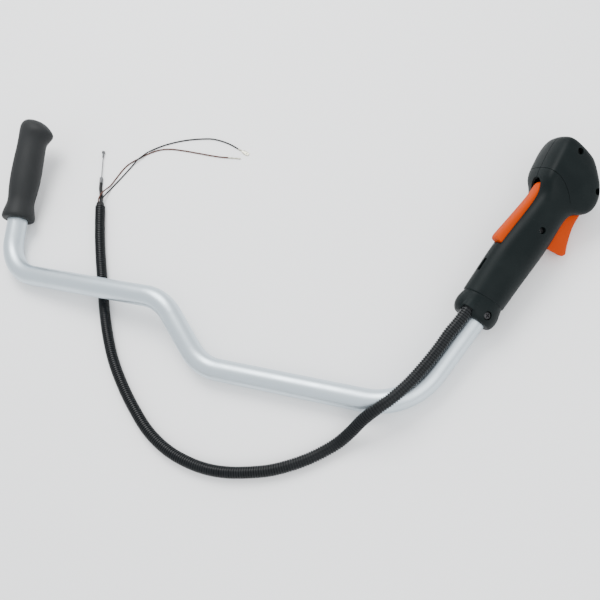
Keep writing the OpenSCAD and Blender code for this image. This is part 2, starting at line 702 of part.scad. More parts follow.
handlebar_tube();
left_grip();
handle_front_shell();
handle_rear_shell();
handle_screws();
collar_bolt();
collar_nut();
throttle_trigger();
trigger_pin();
trigger_spring();
interlock_lever();
interlock_pin();
interlock_spring();
stop_slider();
contact_blade();
contact_post();
conduit();
conduit_end_plug();
cable_sheath();
cable_end_ferrule();
throttle_wire();
wire_nipple();
sheath_in_handle();
handle_end_ferrule();
wire_in_handle();
trigger_nipple();
black_lead();
brown_lead();
black_terminal();
brown_terminal();
black_lead_in_handle();
brown_lead_in_handle();
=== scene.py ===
"""Looks of a brush cutter handlebar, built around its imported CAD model.

The bent tube, the pins and the hidden pieces are the CAD nodes with a better finish. The grip, the throttle
handle, the levers, the corrugated conduit, the cable and the leads are modelled here, in metres, where the
CAD pieces that they stand for lie.
"""

import logging
import math
from dataclasses import dataclass, field
from enum import Enum
from typing import Callable, Iterable, Sequence

import bmesh
import bpy
from mathutils import Matrix, Vector


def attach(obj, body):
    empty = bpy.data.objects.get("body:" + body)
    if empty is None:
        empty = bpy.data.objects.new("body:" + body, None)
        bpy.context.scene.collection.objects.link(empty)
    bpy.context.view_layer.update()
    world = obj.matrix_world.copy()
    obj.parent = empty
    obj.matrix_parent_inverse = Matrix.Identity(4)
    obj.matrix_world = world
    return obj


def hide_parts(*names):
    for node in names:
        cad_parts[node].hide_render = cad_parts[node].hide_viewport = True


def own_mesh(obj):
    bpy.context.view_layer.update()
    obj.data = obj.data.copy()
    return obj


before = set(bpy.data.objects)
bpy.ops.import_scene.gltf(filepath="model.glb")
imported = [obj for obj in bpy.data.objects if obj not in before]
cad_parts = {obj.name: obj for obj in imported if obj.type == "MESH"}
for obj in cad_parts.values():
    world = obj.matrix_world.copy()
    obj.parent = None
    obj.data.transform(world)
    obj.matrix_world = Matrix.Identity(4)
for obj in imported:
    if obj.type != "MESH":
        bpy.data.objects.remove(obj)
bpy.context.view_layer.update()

LOG = logging.getLogger("handlebar")
MM = 0.001
FLOOR_Z = -12.5 * MM
Point = tuple[float, float, float]


# ---------------------------------------------------------------- working with operators


def drop_selection() -> None:
    """Leave edit mode and deselect everything."""
    if bpy.context.mode != "OBJECT":
        bpy.ops.object.mode_set(mode="OBJECT")
    bpy.ops.object.select_all(action="DESELECT")


def take(piece: bpy.types.Object) -> None:
    """Make one object the only selected and active one.

    Args:
        piece: The object to work on.
    """
    drop_selection()
    piece.select_set(True)
    bpy.context.view_layer.objects.active = piece


def active_as(name: str) -> bpy.types.Object:
    """Name the object that an operator has just added.

    Args:
        name: The piece's name.

    Returns:
        The active object.
    """
    piece = bpy.context.active_object
    piece.name = name
    piece.data.name = name
    return piece


def set_down(piece: bpy.types.Object, place: Matrix | None = None) -> bpy.types.Object:
    """Move a piece to its place and write that place into its mesh.

    Args:
        piece: The object.
        place: The frame it was modelled in, or None to keep it where it is.

    Returns:
        The same object, at the origin, unturned and unscaled.
    """
    if place is not None:
        piece.matrix_world = place @ piece.matrix_world
    take(piece)
    bpy.ops.object.transform_apply(location=True, rotation=True, scale=True)
    return piece


def apply_modifier(piece: bpy.types.Object, kind: str, **settings: object) -> None:
    """Add one modifier, set it and apply it.

    Args:
        piece: The object that gets it.
        kind: Blender's type name of the modifier.
        settings: Values for the modifier's properties.
    """
    take(piece)
    modifier = piece.modifiers.new(kind.lower(), kind)
    for key, value in settings.items():
        setattr(modifier, key, value)
    bpy.ops.object.modifier_apply(modifier=modifier.name)


def twin(piece: bpy.types.Object, name: str) -> bpy.types.Object:
    """Copy a piece with a mesh of its own.

    Args:
        piece: The object to copy.
        name: The copy's name.

    Returns:
        The copy.
    """
    copy = piece.copy()
    copy.data = piece.data.copy()
    copy.name = name
    copy.data.name = name
    bpy.context.scene.collection.objects.link(copy)
    return copy


def scrap(piece: bpy.types.Object) -> None:
    """Remove a helper object."""
    bpy.data.objects.remove(piece)


def carve(piece: bpy.types.Object, tools: Iterable[bpy.types.Object], way: str = "DIFFERENCE") -> None:
    """Work a piece with one or more solid tools, and remove the tools.

    Args:
        piece: The object that is cut or joined.
        tools: Closed meshes.
        way: DIFFERENCE, UNION or INTERSECT.
    """
    for tool in tools:
        apply_modifier(piece, "BOOLEAN", operation=way, object=tool, solver="EXACT")
        scrap(tool)


def smooth(piece: bpy.types.Object, degrees: float = 35.0) -> None:
    """Shade a piece smooth, with hard edges above an angle.

    Args:
        piece: The mesh object.
        degrees: The angle from which an edge stays hard.
    """
    take(piece)
    bpy.ops.object.shade_smooth_by_angle(angle=math.radians(degrees))


class Bench:
    """Holds one mesh in edit mode, as a vice holds a workpiece."""

    def __init__(self, piece: bpy.types.Object) -> None:
        """Keep the piece.

        Args:
            piece: The mesh object to work.
        """
        self.piece = piece

    def __enter__(self) -> "Bench":
        """Enter edit mode with vertex selection."""
        take(self.piece)
        bpy.ops.object.mode_set(mode="EDIT")
        bpy.ops.mesh.select_mode(type="VERT")
        return self

    def __exit__(self, *_: object) -> None:
        """Leave edit mode."""
        bpy.ops.object.mode_set(mode="OBJECT")

    def mesh(self) -> bmesh.types.BMesh:
        """The mesh under work."""
        return bmesh.from_edit_mesh(self.piece.data)

    def pick(self, test: Callable[[Vector], bool]) -> None:
        """Select the vertices that pass a test, and what they span.

        Args:
            test: Says of a vertex's place whether it is selected.
        """
        bpy.ops.mesh.select_mode(type="VERT")
        bpy.ops.mesh.select_all(action="DESELECT")
        mesh = self.mesh()
        for vertex in mesh.verts:
            vertex.select = test(vertex.co)
        mesh.select_flush_mode()
        mesh.select_flush(True)
        bmesh.update_edit_mesh(self.piece.data)

    def pick_faces(self, test: Callable[[bmesh.types.BMFace], bool]) -> None:
        """Select the faces that pass a test.

        Args:
            test: Says of a face whether it is selected.
        """
        bpy.ops.mesh.select_mode(type="FACE")
        bpy.ops.mesh.select_all(action="DESELECT")
        mesh = self.mesh()
        for face in mesh.faces:
            face.select = test(face)
        mesh.select_flush_mode()
        bmesh.update_edit_mesh(self.piece.data)

    def only(self, *indices: int) -> None:
        """Select the vertices with these numbers, and the faces that they span."""
        mesh = self.mesh()
        for element in (*mesh.verts, *mesh.edges, *mesh.faces):
            element.select = False
        mesh.verts.ensure_lookup_table()
        for index in indices:
            mesh.verts[index].select = True
        mesh.select_flush(True)
        bmesh.update_edit_mesh(self.piece.data)

    def everything(self) -> None:
        """Select the whole mesh."""
        bpy.ops.mesh.select_all(action="SELECT")

    def extrude(self, by: Sequence[float]) -> None:
        """Extrude the selection and move it.

        Args:
            by: The way it moves.
        """
        bpy.ops.mesh.extrude_region_move(TRANSFORM_OT_translate={"value": tuple(by)})

    def resize(self, by: Sequence[float], centre: Sequence[float]) -> None:
        """Scale the selection about a point.

        Args:
            by: Scale along X, Y and Z.
            centre: The point that stays.
        """
        bpy.ops.transform.resize(value=tuple(by), center_override=tuple(centre))

    def heal(self, reach: float = 1e-6) -> None:
        """Merge doubles over the whole mesh and turn its faces outwards."""
        self.everything()
        bpy.ops.mesh.remove_doubles(threshold=reach)
        bpy.ops.mesh.normals_make_consistent(inside=False)


def drum(name: str, radius: float, low: float, high: float, at: tuple[float, float] = (0, 0), sides: int = 64) -> bpy.types.Object:
    """A cylinder that stands along Z, in millimetres.

    Args:
        name: Its name.
        radius: Its radius.
        low: Z of its lower end.
        high: Z of its upper end.
        at: X and Y of its axis.
        sides: Number of sides.

    Returns:
        The object.
    """
    drop_selection()
    bpy.ops.mesh.primitive_cylinder_add(
        vertices=sides, radius=radius * MM, depth=(high - low) * MM, location=(at[0] * MM, at[1] * MM, (low + high) / 2 * MM)
    )
    return set_down(active_as(name))


def cross_drum(name: str, radius: float, low: float, high: float, at: tuple[float, float], sides: int = 48) -> bpy.types.Object:
    """A cylinder that lies along Y, in millimetres.

    Args:
        name: Its name.
        radius: Its radius.
        low: Y of its rear end.
        high: Y of its front end.
        at: X and Z of its axis.
        sides: Number of sides.

    Returns:
        The object.
    """
    piece = drum(name, radius, low, high, (0, 0), sides)
    turn = Matrix.Translation((at[0] * MM, 0, at[1] * MM)) @ Matrix.Rotation(math.radians(-90), 4, "X")
    return set_down(piece, turn)


def side_drum(name: str, radius: float, low: float, high: float, at: tuple[float, float], sides: int = 48) -> bpy.types.Object:
    """A cylinder that lies along X, in millimetres.

    Args:
        name: Its name.
        radius: Its radius.
        low: X of its one end.
        high: X of its other end.
        at: Y and Z of its axis.
        sides: Number of sides.

    Returns:
        The object.
    """
    piece = drum(name, radius, low, high, (0, 0), sides)
    turn = Matrix.Translation((0, at[0] * MM, at[1] * MM)) @ Matrix.Rotation(math.radians(90), 4, "Y")
    return set_down(piece, turn)


def block(name: str, low: Point, high: Point) -> bpy.types.Object:
    """A box between two corners, in millimetres.

    Args:
        name: Its name.
        low: Its lowest corner.
        high: Its highest corner.

    Returns:
        The object.
    """
    drop_selection()
    middle = [(a + b) / 2 * MM for a, b in zip(low, high)]
    bpy.ops.mesh.primitive_cube_add(size=1, location=middle, scale=[(b - a) * MM for a, b in zip(low, high)])
    return set_down(active_as(name))


def outline_block(name: str, outline: Sequence[tuple[float, float]], low: float, high: float) -> bpy.types.Object:
    """A flat outline in X and Z, filled and drawn out along Y, in millimetres.

    Args:
        name: Its name.
        outline: Points of the outline in X and Z.
        low: Y of its rear face.
        high: Y of its front face.

    Returns:
        A closed mesh object.
    """
    curve = bpy.data.curves.new(name, "CURVE")
    curve.dimensions = "2D"
    curve.fill_mode = "BOTH"
    curve.extrude = (high - low) / 2 * MM
    line = curve.splines.new("POLY")
    line.points.add(len(outline) - 1)
    for point, (x, z) in zip(line.points, outline):
        point.co = (x * MM, z * MM, 0, 1)
    line.use_cyclic_u = True
    piece = bpy.data.objects.new(name, curve)
    bpy.context.scene.collection.objects.link(piece)
    take(piece)
    bpy.ops.object.convert(target="MESH")
    piece = bpy.context.active_object
    turn = Matrix.Translation((0, (low + high) / 2 * MM, 0)) @ Matrix.Rotation(math.radians(90), 4, "X")
    set_down(piece, turn)
    with Bench(piece) as bench:
        bench.heal()
    return piece


def lathed(name: str, profile: Sequence[tuple[float, float]], sides: int = 32) -> bpy.types.Object:
    """A round solid drawn ring by ring along Z, in millimetres.

    Args:
        name: Its name.
        profile: Z and radius of each ring.
        sides: Number of sides.

    Returns:
        A closed mesh object.
    """
    drop_selection()
    z, radius = profile[0]
    bpy.ops.mesh.primitive_circle_add(vertices=sides, radius=radius * MM, fill_type="NGON", location=(0, 0, z * MM))
    piece = set_down(active_as(name))
    with Bench(piece) as bench:
        bench.everything()
        for (z, radius), (next_z, next_radius) in zip(profile, profile[1:]):
            bench.extrude((0, 0, (next_z - z) * MM))
            grow = next_radius / radius
            bench.resize((grow, grow, 1), (0, 0, next_z * MM))
        bench.heal()
    return piece


@dataclass(frozen=True)
class Section:
    """One cross-section of a drawn-out form, in millimetres.

    Attributes:
        s: Distance along the form.
        low: Where it ends on the -X side.
        high: Where it ends on the +X side.
        front: Its reach along +Y.
        rear: Its reach along -Y.
        power: 2 for an oval, 5 for a rectangle with round corners.
        slant: How far the section leans along the form, per millimetre of X.
        lean: How far it leans along the form, per millimetre of Y.
        drop: How far its +X side falls towards the front, per millimetre of Y.
    """

    s: float
    low: float
    high: float
    front: float
    rear: float
    power: float = 2.0
    slant: float = 0.0
    lean: float = 0.0
    drop: float = 0.0

    @property
    def square(self) -> float:
        """0 for an oval, 1 for a rectangle with round corners."""
        return (2 ** (-1 / self.power) - 0.7071) / 0.1635

    def ring(self, inset: float) -> list[Vector]:
        """The places of the cage's vertices, a little outside the section, because subdivision pulls them in.

        Args:
            inset: How far the section is taken inwards.

        Returns:
            Places in metres, anticlockwise from +X.
        """
        grow = 1 + PULL_IN * (1 - self.square)
        middle, half = (self.high + self.low) / 2, (self.high - self.low) / 2 - inset
        places = []
        for k in range(RING):
            angle, (c, d) = math.tau * k / RING, BOX_QUARTER[k % 4]
            for _ in range(k // 4):
                c, d = -d, c
            c = (c * self.square + math.cos(angle) * (1 - self.square)) * half * grow
            d = (d * self.square + math.sin(angle) * (1 - self.square)) * grow
            y = d * ((self.front if d > 0 else self.rear) - inset)
            c -= self.drop * max(y, 0) * max(c, 0) / half
            places.append(Vector((middle + c, y, self.s - self.slant * (middle + c) - self.lean * y)) * MM)
        return places


RING = 16
PULL_IN = 0.026
BOX_QUARTER = ((1.0, 0.0), (1.0, 0.60), (0.91, 0.91), (0.60, 1.0))


class Drawn:
    """A form drawn out ring by ring from a disc, then subdivided."""

    def __init__(self, name: str, sections: Sequence[Section], inset: float = 0.0) -> None:
        """Keep what is drawn.

        Args:
            name: The piece's name.
            sections: Its cross-sections in order.
            inset: How far each one is taken inwards.
        """
        self.name = name
        self.sections = sections
        self.inset = inset

    def fit(self, bench: Bench, section: Section, centre: float) -> None:
        """Move each vertex of the selected ring to its place on a section.

        Args:
            bench: The mesh under work, with the new ring selected.
            section: Where the ring goes.
            centre: X of the ring's middle now, in metres.
        """
        chosen = [v for v in bench.mesh().verts if v.select]
        chosen.sort(key=lambda v: (math.atan2(v.co.y, v.co.x - centre) + 0.06) % math.tau)
        order = [v.index for v in chosen]
        for index, target in zip(order, section.ring(self.inset)):
            bench.only(index)
            bpy.ops.transform.translate(value=target - bench.mesh().verts[index].co)
        bench.only(*order)

    def make(self, levels: int = 2) -> bpy.types.Object:
        """Draw the form.

        Args:
            levels: How often the cage is subdivided.

        Returns:
            The finished closed mesh.
        """
        drop_selection()
        bpy.ops.mesh.primitive_circle_add(vertices=RING, radius=1, fill_type="NGON", location=(0, 0, 0))
        piece = active_as(self.name)
        with Bench(piece) as bench:
            bench.everything()
            centre = 0.0
            for k, section in enumerate(self.sections):
                if k:
                    bench.extrude((0, 0, (section.s - self.sections[k - 1].s) * MM))
                self.fit(bench, section, centre)
                centre = (section.low + section.high) / 2 * MM
            bench.heal()
        apply_modifier(piece, "SUBSURF", levels=levels, render_levels=levels)
        return piece


# ---------------------------------------------------------------- finishes


class Nodes:
    """Lays out and links the nodes of one tree."""

    def __init__(self, tree: bpy.types.NodeTree) -> None:
        """Keep the tree.

        Args:
            tree: The material's or group's node tree.
        """
        self.tree = tree
        self.count = 0

    def add(self, kind: str, **settings: object) -> bpy.types.Node:
        """Add one node.

        Args:
            kind: Its type name.
            settings: Properties to set.

        Returns:
            The node.
        """
        node = self.tree.nodes.new(kind)
        node.location = (200 * self.count, 0)
        self.count += 1
        for key, value in settings.items():
            setattr(node, key, value)
        return node

    def link(self, out: bpy.types.NodeSocket, into: bpy.types.NodeSocket) -> None:
        """Link two sockets."""
        self.tree.links.new(out, into)

    def ramp(self, source: bpy.types.NodeSocket, low: float, high: float) -> bpy.types.NodeSocket:
        """Stretch a value so that low becomes 0 and high 1.

        Args:
            source: The value.
            low: What becomes 0.
            high: What becomes 1.

        Returns:
            The stretched value.
        """
        node = self.add("ShaderNodeMapRange")
        node.inputs["From Min"].default_value = low
        node.inputs["From Max"].default_value = high
        self.link(source, node.inputs["Value"])
        return node.outputs["Result"]


def surface_group(name: str, fill: Callable[[Nodes, bpy.types.Node, bpy.types.Node], None], inputs: dict[str, float], outputs: Sequence[str]) -> bpy.types.NodeTree:
    """Make one shared effect.

    Args:
        name: The group's name.
        fill: Adds its nodes, given the tree, its input node and its output node.
        inputs: Names and start values of its number inputs. It also gets a vector input.
        outputs: Names of its value outputs.

    Returns:
        The group.
    """
    tree = bpy.data.node_groups.new(name, "ShaderNodeTree")
    tree.interface.new_socket(name="Vector", in_out="INPUT", socket_type="NodeSocketVector")
    for key, value in inputs.items():
        socket = tree.interface.new_socket(name=key, in_out="INPUT", socket_type="NodeSocketFloat")
        socket.default_value = value
    for key in outputs:
        tree.interface.new_socket(name=key, in_out="OUTPUT", socket_type="NodeSocketFloat")
    nodes = Nodes(tree)
    fill(nodes, nodes.add("NodeGroupInput"), nodes.add("NodeGroupOutput"))
    return tree


def fill_grain(nodes: Nodes, given: bpy.types.Node, out: bpy.types.Node) -> None:
    """Fine moulded or cast grain: small cells over a soft noise.

    Args:
        nodes: The group's tree.
        given: Its inputs.
        out: Its outputs.
    """
    cells = nodes.add("ShaderNodeTexVoronoi", feature="SMOOTH_F1")
    nodes.link(given.outputs["Vector"], cells.inputs["Vector"])
    nodes.link(given.outputs["Scale"], cells.inputs["Scale"])
    cloud = nodes.add("ShaderNodeTexNoise")
    cloud.inputs["Detail"].default_value = 4
    nodes.link(given.outputs["Vector"], cloud.inputs["Vector"])
    half = nodes.add("ShaderNodeMath", operation="MULTIPLY")
    half.inputs[1].default_value = 0.45
    nodes.link(given.outputs["Scale"], half.inputs[0])
    nodes.link(half.outputs[0], cloud.inputs["Scale"])
    both = nodes.add("ShaderNodeMath", operation="MULTIPLY_ADD")
    both.inputs[1].default_value = 0.6
    nodes.link(cells.outputs["Distance"], both.inputs[0])
    nodes.link(cloud.outputs["Fac"], both.inputs[2])
    nodes.link(both.outputs[0], out.inputs["Height"])


def fill_handling(nodes: Nodes, given: bpy.types.Node, out: bpy.types.Node) -> None:
    """Broad soft patches left by handling, and sparse fine specks of dust.

    Args:
        nodes: The group's tree.
        given: Its inputs.
        out: Its outputs.
    """
    broad = nodes.add("ShaderNodeTexNoise")
    broad.inputs["Detail"].default_value = 3
    broad.inputs["Distortion"].default_value = 0.6
    nodes.link(given.outputs["Vector"], broad.inputs["Vector"])
    nodes.link(given.outputs["Scale"], broad.inputs["Scale"])
    nodes.link(nodes.ramp(broad.outputs["Fac"], 0.38, 0.66), out.inputs["Patches"])
    fine = nodes.add("ShaderNodeTexNoise")
    fine.inputs["Detail"].default_value = 2
    many = nodes.add("ShaderNodeMath", operation="MULTIPLY")
    many.inputs[1].default_value = 22
    nodes.link(given.outputs["Scale"], many.inputs[0])
    nodes.link(given.outputs["Vector"], fine.inputs["Vector"])
    nodes.link(many.outputs[0], fine.inputs["Scale"])
    nodes.link(nodes.ramp(fine.outputs["Fac"], 0.66, 0.78), out.inputs["Dust"])


def fill_edges(nodes: Nodes, given: bpy.types.Node, out: bpy.types.Node) -> None:
    """Painted highlight along outward edges, broken up by noise.

    Args:
        nodes: The group's tree.
        given: Its inputs.
        out: Its outputs.
    """
    shape = nodes.add("ShaderNodeNewGeometry")
    broken = nodes.add("ShaderNodeTexNoise")
    broken.inputs["Detail"].default_value = 5
    nodes.link(given.outputs["Vector"], broken.inputs["Vector"])
    nodes.link(given.outputs["Scale"], broken.inputs["Scale"])
    both = nodes.add("ShaderNodeMath", operation="MULTIPLY")
    nodes.link(nodes.ramp(shape.outputs["Pointiness"], 0.52, 0.62), both.inputs[0])
    nodes.link(nodes.ramp(broken.outputs["Fac"], 0.35, 0.65), both.inputs[1])
    share = nodes.add("ShaderNodeMath", operation="MULTIPLY")
    nodes.link(both.outputs[0], share.inputs[0])
    nodes.link(given.outputs["Amount"], share.inputs[1])
    nodes.link(share.outputs[0], out.inputs["Edge"])


class Effect(Enum):
    """The shared effects."""

    GRAIN = "fine_grain"
    HANDLING = "handling_marks"
    # A painted highlight along outward edges.
    EDGES = "painted_edge_highlight"


class Effects:
    """Builds each shared effect once."""

    def __init__(self) -> None:
        """Build the groups."""
        self.groups = {
            Effect.GRAIN: surface_group(Effect.GRAIN.value, fill_grain, {"Scale": 900.0}, ("Height",)),
            Effect.HANDLING: surface_group(Effect.HANDLING.value, fill_handling, {"Scale": 30.0}, ("Patches", "Dust")),
            Effect.EDGES: surface_group(Effect.EDGES.value, fill_edges, {"Scale": 160.0, "Amount": 0.5}, ("Edge",)),
        }


Colour = tuple[float, float, float]


@dataclass(frozen=True)
class Finish:
    """One procedural material.

    Attributes:
        name: Its name.
        colour: Base colour.
        tint: The colour of its dusty and handled patches, and of the highlight painted along its outward edges.
        rough: Roughness where it is clean and where it is handled.
        grain: Scale of the grain, in cells per metre.
        depth: Strength of the grain's bump.
        metal: 1 for bare metal.
        coat: Weight of a clear gloss on top.
        stretch: How much longer the grain is along each axis.
        level: Specular level.
        patch: Scale of the handling marks.
        edge_highlight: How far the tint covers the outward edges, as a painted highlight.
    """

    name: str
    colour: Colour
    tint: Colour
    rough: tuple[float, float]
    grain: float = 900.0
    depth: float = 0.1
    metal: float = 0.0
    coat: float = 0.0
    stretch: Point = (1.0, 1.0, 1.0)
    level: float = 0.5
    patch: float = 30.0
    edge_highlight: float = 0.5

    def make(self, effects: Effects) -> bpy.types.Material:
        """Build the material.

        Args:
            effects: The shared effects.

        Returns:
            The material.
        """
        material = bpy.data.materials.new(self.name)
        material.use_nodes = True
        material.node_tree.nodes.clear()
        nodes = Nodes(material.node_tree)
        where = nodes.add("ShaderNodeTexCoord")
        turn = nodes.add("ShaderNodeMapping")
        turn.inputs["Scale"].default_value = self.stretch
        nodes.link(where.outputs["Object"], turn.inputs["Vector"])
        grain = nodes.add("ShaderNodeGroup", node_tree=effects.groups[Effect.GRAIN])
        grain.inputs["Scale"].default_value = self.grain
        nodes.link(turn.outputs["Vector"], grain.inputs["Vector"])
        marks = nodes.add("ShaderNodeGroup", node_tree=effects.groups[Effect.HANDLING])
        marks.inputs["Scale"].default_value = self.patch
        nodes.link(where.outputs["Object"], marks.inputs["Vector"])
        shader = nodes.add("ShaderNodeBsdfPrincipled")
        shader.inputs["Metallic"].default_value = self.metal
        shader.inputs["Coat Weight"].default_value = self.coat
        shader.inputs["Coat Roughness"].default_value = 0.25
        shader.inputs["Specular IOR Level"].default_value = self.level
        patched = self.mix(nodes, marks.outputs["Patches"], 0.5)
        dusted = nodes.add("ShaderNodeMix", data_type="RGBA")
        nodes.link(nodes.ramp(marks.outputs["Dust"], 0, 2.5), dusted.inputs["Factor"])
        nodes.link(patched, dusted.inputs["A"])
        dusted.inputs["B"].default_value = (*self.tint, 1)
        # Painted highlight: the outward edges are mixed towards the tint colour, as if light caught them.
        edges = nodes.add("ShaderNodeGroup", node_tree=effects.groups[Effect.EDGES])
        edges.inputs["Amount"].default_value = self.edge_highlight
        nodes.link(where.outputs["Object"], edges.inputs["Vector"])
        edge_highlighted = nodes.add("ShaderNodeMix", data_type="RGBA")
        nodes.link(edges.outputs["Edge"], edge_highlighted.inputs["Factor"])
        nodes.link(dusted.outputs["Result"], edge_highlighted.inputs["A"])
        edge_highlighted.inputs["B"].default_value = (*self.tint, 1)
        nodes.link(edge_highlighted.outputs["Result"], shader.inputs["Base Color"])
        rough = nodes.add("ShaderNodeMapRange")
        rough.inputs["To Min"].default_value = self.rough[0]
        rough.inputs["To Max"].default_value = self.rough[1]
        nodes.link(marks.outputs["Patches"], rough.inputs["Value"])
        nodes.link(rough.outputs["Result"], shader.inputs["Roughness"])
        bump = nodes.add("ShaderNodeBump")
        bump.inputs["Strength"].default_value = self.depth
        bump.inputs["Distance"].default_value = 0.0002
        nodes.link(grain.outputs["Height"], bump.inputs["Height"])
        nodes.link(bump.outputs["Normal"], shader.inputs["Normal"])
        out = nodes.add("ShaderNodeOutputMaterial")
        nodes.link(shader.outputs["BSDF"], out.inputs["Surface"])
        return material

    def mix(self, nodes: Nodes, mask: bpy.types.NodeSocket, share: float) -> bpy.types.NodeSocket:
        """Mix the base colour towards a halfway tint under a mask.

        Args:
            nodes: The material's tree.
            mask: Where the tint shows.
            share: How far it goes.

        Returns:
            The colour.
        """
        node = nodes.add("ShaderNodeMix", data_type="RGBA")
        nodes.link(mask, node.inputs["Factor"])
        node.inputs["A"].default_value = (*self.colour, 1)
        node.inputs["B"].default_value = (*[a + (b - a) * share * 0.3 for a, b in zip(self.colour, self.tint)], 1)
        return node.outputs["Result"]


class Stuff(Enum):
    """The finishes that the handlebar has."""

    # Each finish's second colour tints its dust and handling marks, and is also painted on its outward edges as a
    # highlight.
    TUBE = Finish("satin_anodised_tube", (0.57, 0.645, 0.695), (0.47, 0.53, 0.56), (0.37, 0.44), 2600, 0.05, metal=1.0)
    RUBBER = Finish("matte_grip_rubber", (0.007, 0.008, 0.0085), (0.03, 0.032, 0.034), (0.58, 0.70), 1400, 0.35, level=0.25)
    SHELL = Finish("grained_shell_plastic", (0.0038, 0.0064, 0.0067), (0.016, 0.022, 0.022), (0.42, 0.52), 1700, 0.25, level=0.09)
    LEVER = Finish("orange_lever_plastic", (0.43, 0.042, 0.0), (0.50, 0.062, 0.003), (0.42, 0.5), 1500, 0.08, level=0.05)
    TRIGGER = Finish("orange_trigger_plastic", (0.40, 0.036, 0.0), (0.46, 0.055, 0.003), (0.42, 0.5), 1500, 0.10, level=0.06)
    SLIDER = Finish("black_slider_plastic", (0.012, 0.012, 0.013), (0.04, 0.04, 0.042), (0.35, 0.45), 1500, 0.15)
    PLUG = Finish("black_plug_rubber", (0.007, 0.007, 0.0075), (0.025, 0.025, 0.026), (0.55, 0.68), 1400, 0.3, level=0.2)
    CONDUIT = Finish("black_conduit_plastic", (0.004, 0.005, 0.006), (0.014, 0.016, 0.018), (0.33, 0.42), 1200, 0.08, level=0.2)
    SHEATH = Finish("black_cable_sheath", (0.006, 0.0062, 0.0065), (0.02, 0.021, 0.022), (0.32, 0.42), 1500, 0.06, level=0.15)
    BLACK_LEAD = Finish("black_lead_insulation", (0.007, 0.007, 0.0075), (0.025, 0.025, 0.026), (0.30, 0.40), 1500, 0.06, level=0.2)
    BROWN_LEAD = Finish("brown_lead_insulation", (0.060, 0.018, 0.011), (0.10, 0.045, 0.03), (0.30, 0.40), 1500, 0.06, level=0.25)
    ZINC = Finish("bright_zinc_steel", (0.33, 0.335, 0.335), (0.24, 0.24, 0.23), (0.24, 0.36), 3000, 0.08, metal=1.0)
    DULL_ZINC = Finish("dull_zinc_alloy", (0.115, 0.117, 0.12), (0.08, 0.08, 0.08), (0.38, 0.5), 3000, 0.08, metal=1.0)
    DARK_STEEL = Finish("blackened_steel", (0.030, 0.030, 0.032), (0.08, 0.08, 0.08), (0.38, 0.5), 2500, 0.1, metal=0.7)
    WIRE = Finish("drawn_steel_wire", (0.26, 0.265, 0.27), (0.18, 0.18, 0.18), (0.26, 0.36), 3000, 0.06, metal=1.0)
    TIN = Finish("tinned_contact", (0.46, 0.45, 0.36), (0.34, 0.32, 0.25), (0.26, 0.38), 3000, 0.06, metal=1.0)
    BRASS = Finish("bright_brass", (0.70, 0.50, 0.20), (0.55, 0.38, 0.16), (0.25, 0.36), 3000, 0.06, metal=1.0)


class Paintshop:
    """Gives pieces their finish, hangs them on their bodies and hides the CAD nodes that they stand for."""

    def __init__(self) -> None:
        """Build the shared effects."""
        self.effects = Effects()
        self.made: dict[Stuff, bpy.types.Material] = {}

    def material(self, stuff: Stuff) -> bpy.types.Material:
        """The material of a finish, built at its first use."""
        if stuff not in self.made:
            self.made[stuff] = stuff.value.make(self.effects)
        return self.made[stuff]

    def dress(self, piece: bpy.types.Object, stuff: Stuff, body: str, slot: str, *nodes: str) -> bpy.types.Object:
        """Finish a new piece and hang it on its body.

        Args:
            piece: The piece.
            stuff: Its finish.
            body: The CAD body that it rides on.
            slot: A material slot's name; not used.
            nodes: CAD nodes that it stands for.

        Returns:
            The piece.
        """
        piece.data.materials.clear()
        piece.data.materials.append(self.material(stuff))
        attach(piece, body)
        if nodes:
            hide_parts(*nodes)
        LOG.info("%s: %s, rides on %s", piece.name, stuff.value.name, body)
        return piece

    def repaint(self, node: str, stuff: Stuff) -> None:
        """Give a CAD node that stays in view a better material.

        Args:
            node: The CAD node.
            stuff: The finish.
        """
        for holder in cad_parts[node].material_slots:
            holder.material = self.material(stuff)


# ---------------------------------------------------------------- cords


def smooth_route(points: Sequence[Point], radius: float, step: float = 1.5) -> list[Vector]:
    """Pass a smooth line through points, in millimetres, that lies on the floor where it is lowest.

    Args:
        points: The route's own points.
        radius: The cord's radius.
        step: Distance between the points of the result.

    Returns:
        Points in metres, evenly spaced.
    """
    knots = [Vector(p) * MM for p in points]
    knots = [knots[0] * 2 - knots[1], *knots, knots[-1] * 2 - knots[-2]]
    dense: list[Vector] = []
    for a, b, c, d in zip(knots, knots[1:], knots[2:], knots[3:]):
        t = [0.0]
        for p, q in ((a, b), (b, c), (c, d)):
            t.append(t[-1] + (q - p).length ** 0.5)
        for k in range(24):
            u = t[1] + (t[2] - t[1]) * k / 24
            ab = a.lerp(b, (u - t[0]) / (t[1] - t[0]))
            bc = b.lerp(c, (u - t[1]) / (t[2] - t[1]))
            cd = c.lerp(d, (u - t[2]) / (t[3] - t[2]))
            abc = ab.lerp(bc, (u - t[0]) / (t[2] - t[0]))
            bcd = bc.lerp(cd, (u - t[1]) / (t[3] - t[1]))
            dense.append(abc.lerp(bcd, (u - t[1]) / (t[2] - t[1])))
    dense.append(knots[-2])
    for place in dense:
        place.z = max(place.z, FLOOR_Z + radius * MM)
    total = sum((q - p).length for p, q in zip(dense, dense[1:]))
    count = max(2, round(total / (step * MM)))
    even, gone, i = [dense[0]], 0.0, 0
    for k in range(1, count):
        want = total * k / count
        while gone + (dense[i + 1] - dense[i]).length < want:
            gone += (dense[i + 1] - dense[i]).length
            i += 1
        even.append(dense[i].lerp(dense[i + 1], (want - gone) / (dense[i + 1] - dense[i]).length))
    return [*even, dense[-1]]


def route_length(route: Sequence[Vector]) -> float:
    """Length of a route in metres."""
    return sum((q - p).length for p, q in zip(route, route[1:]))


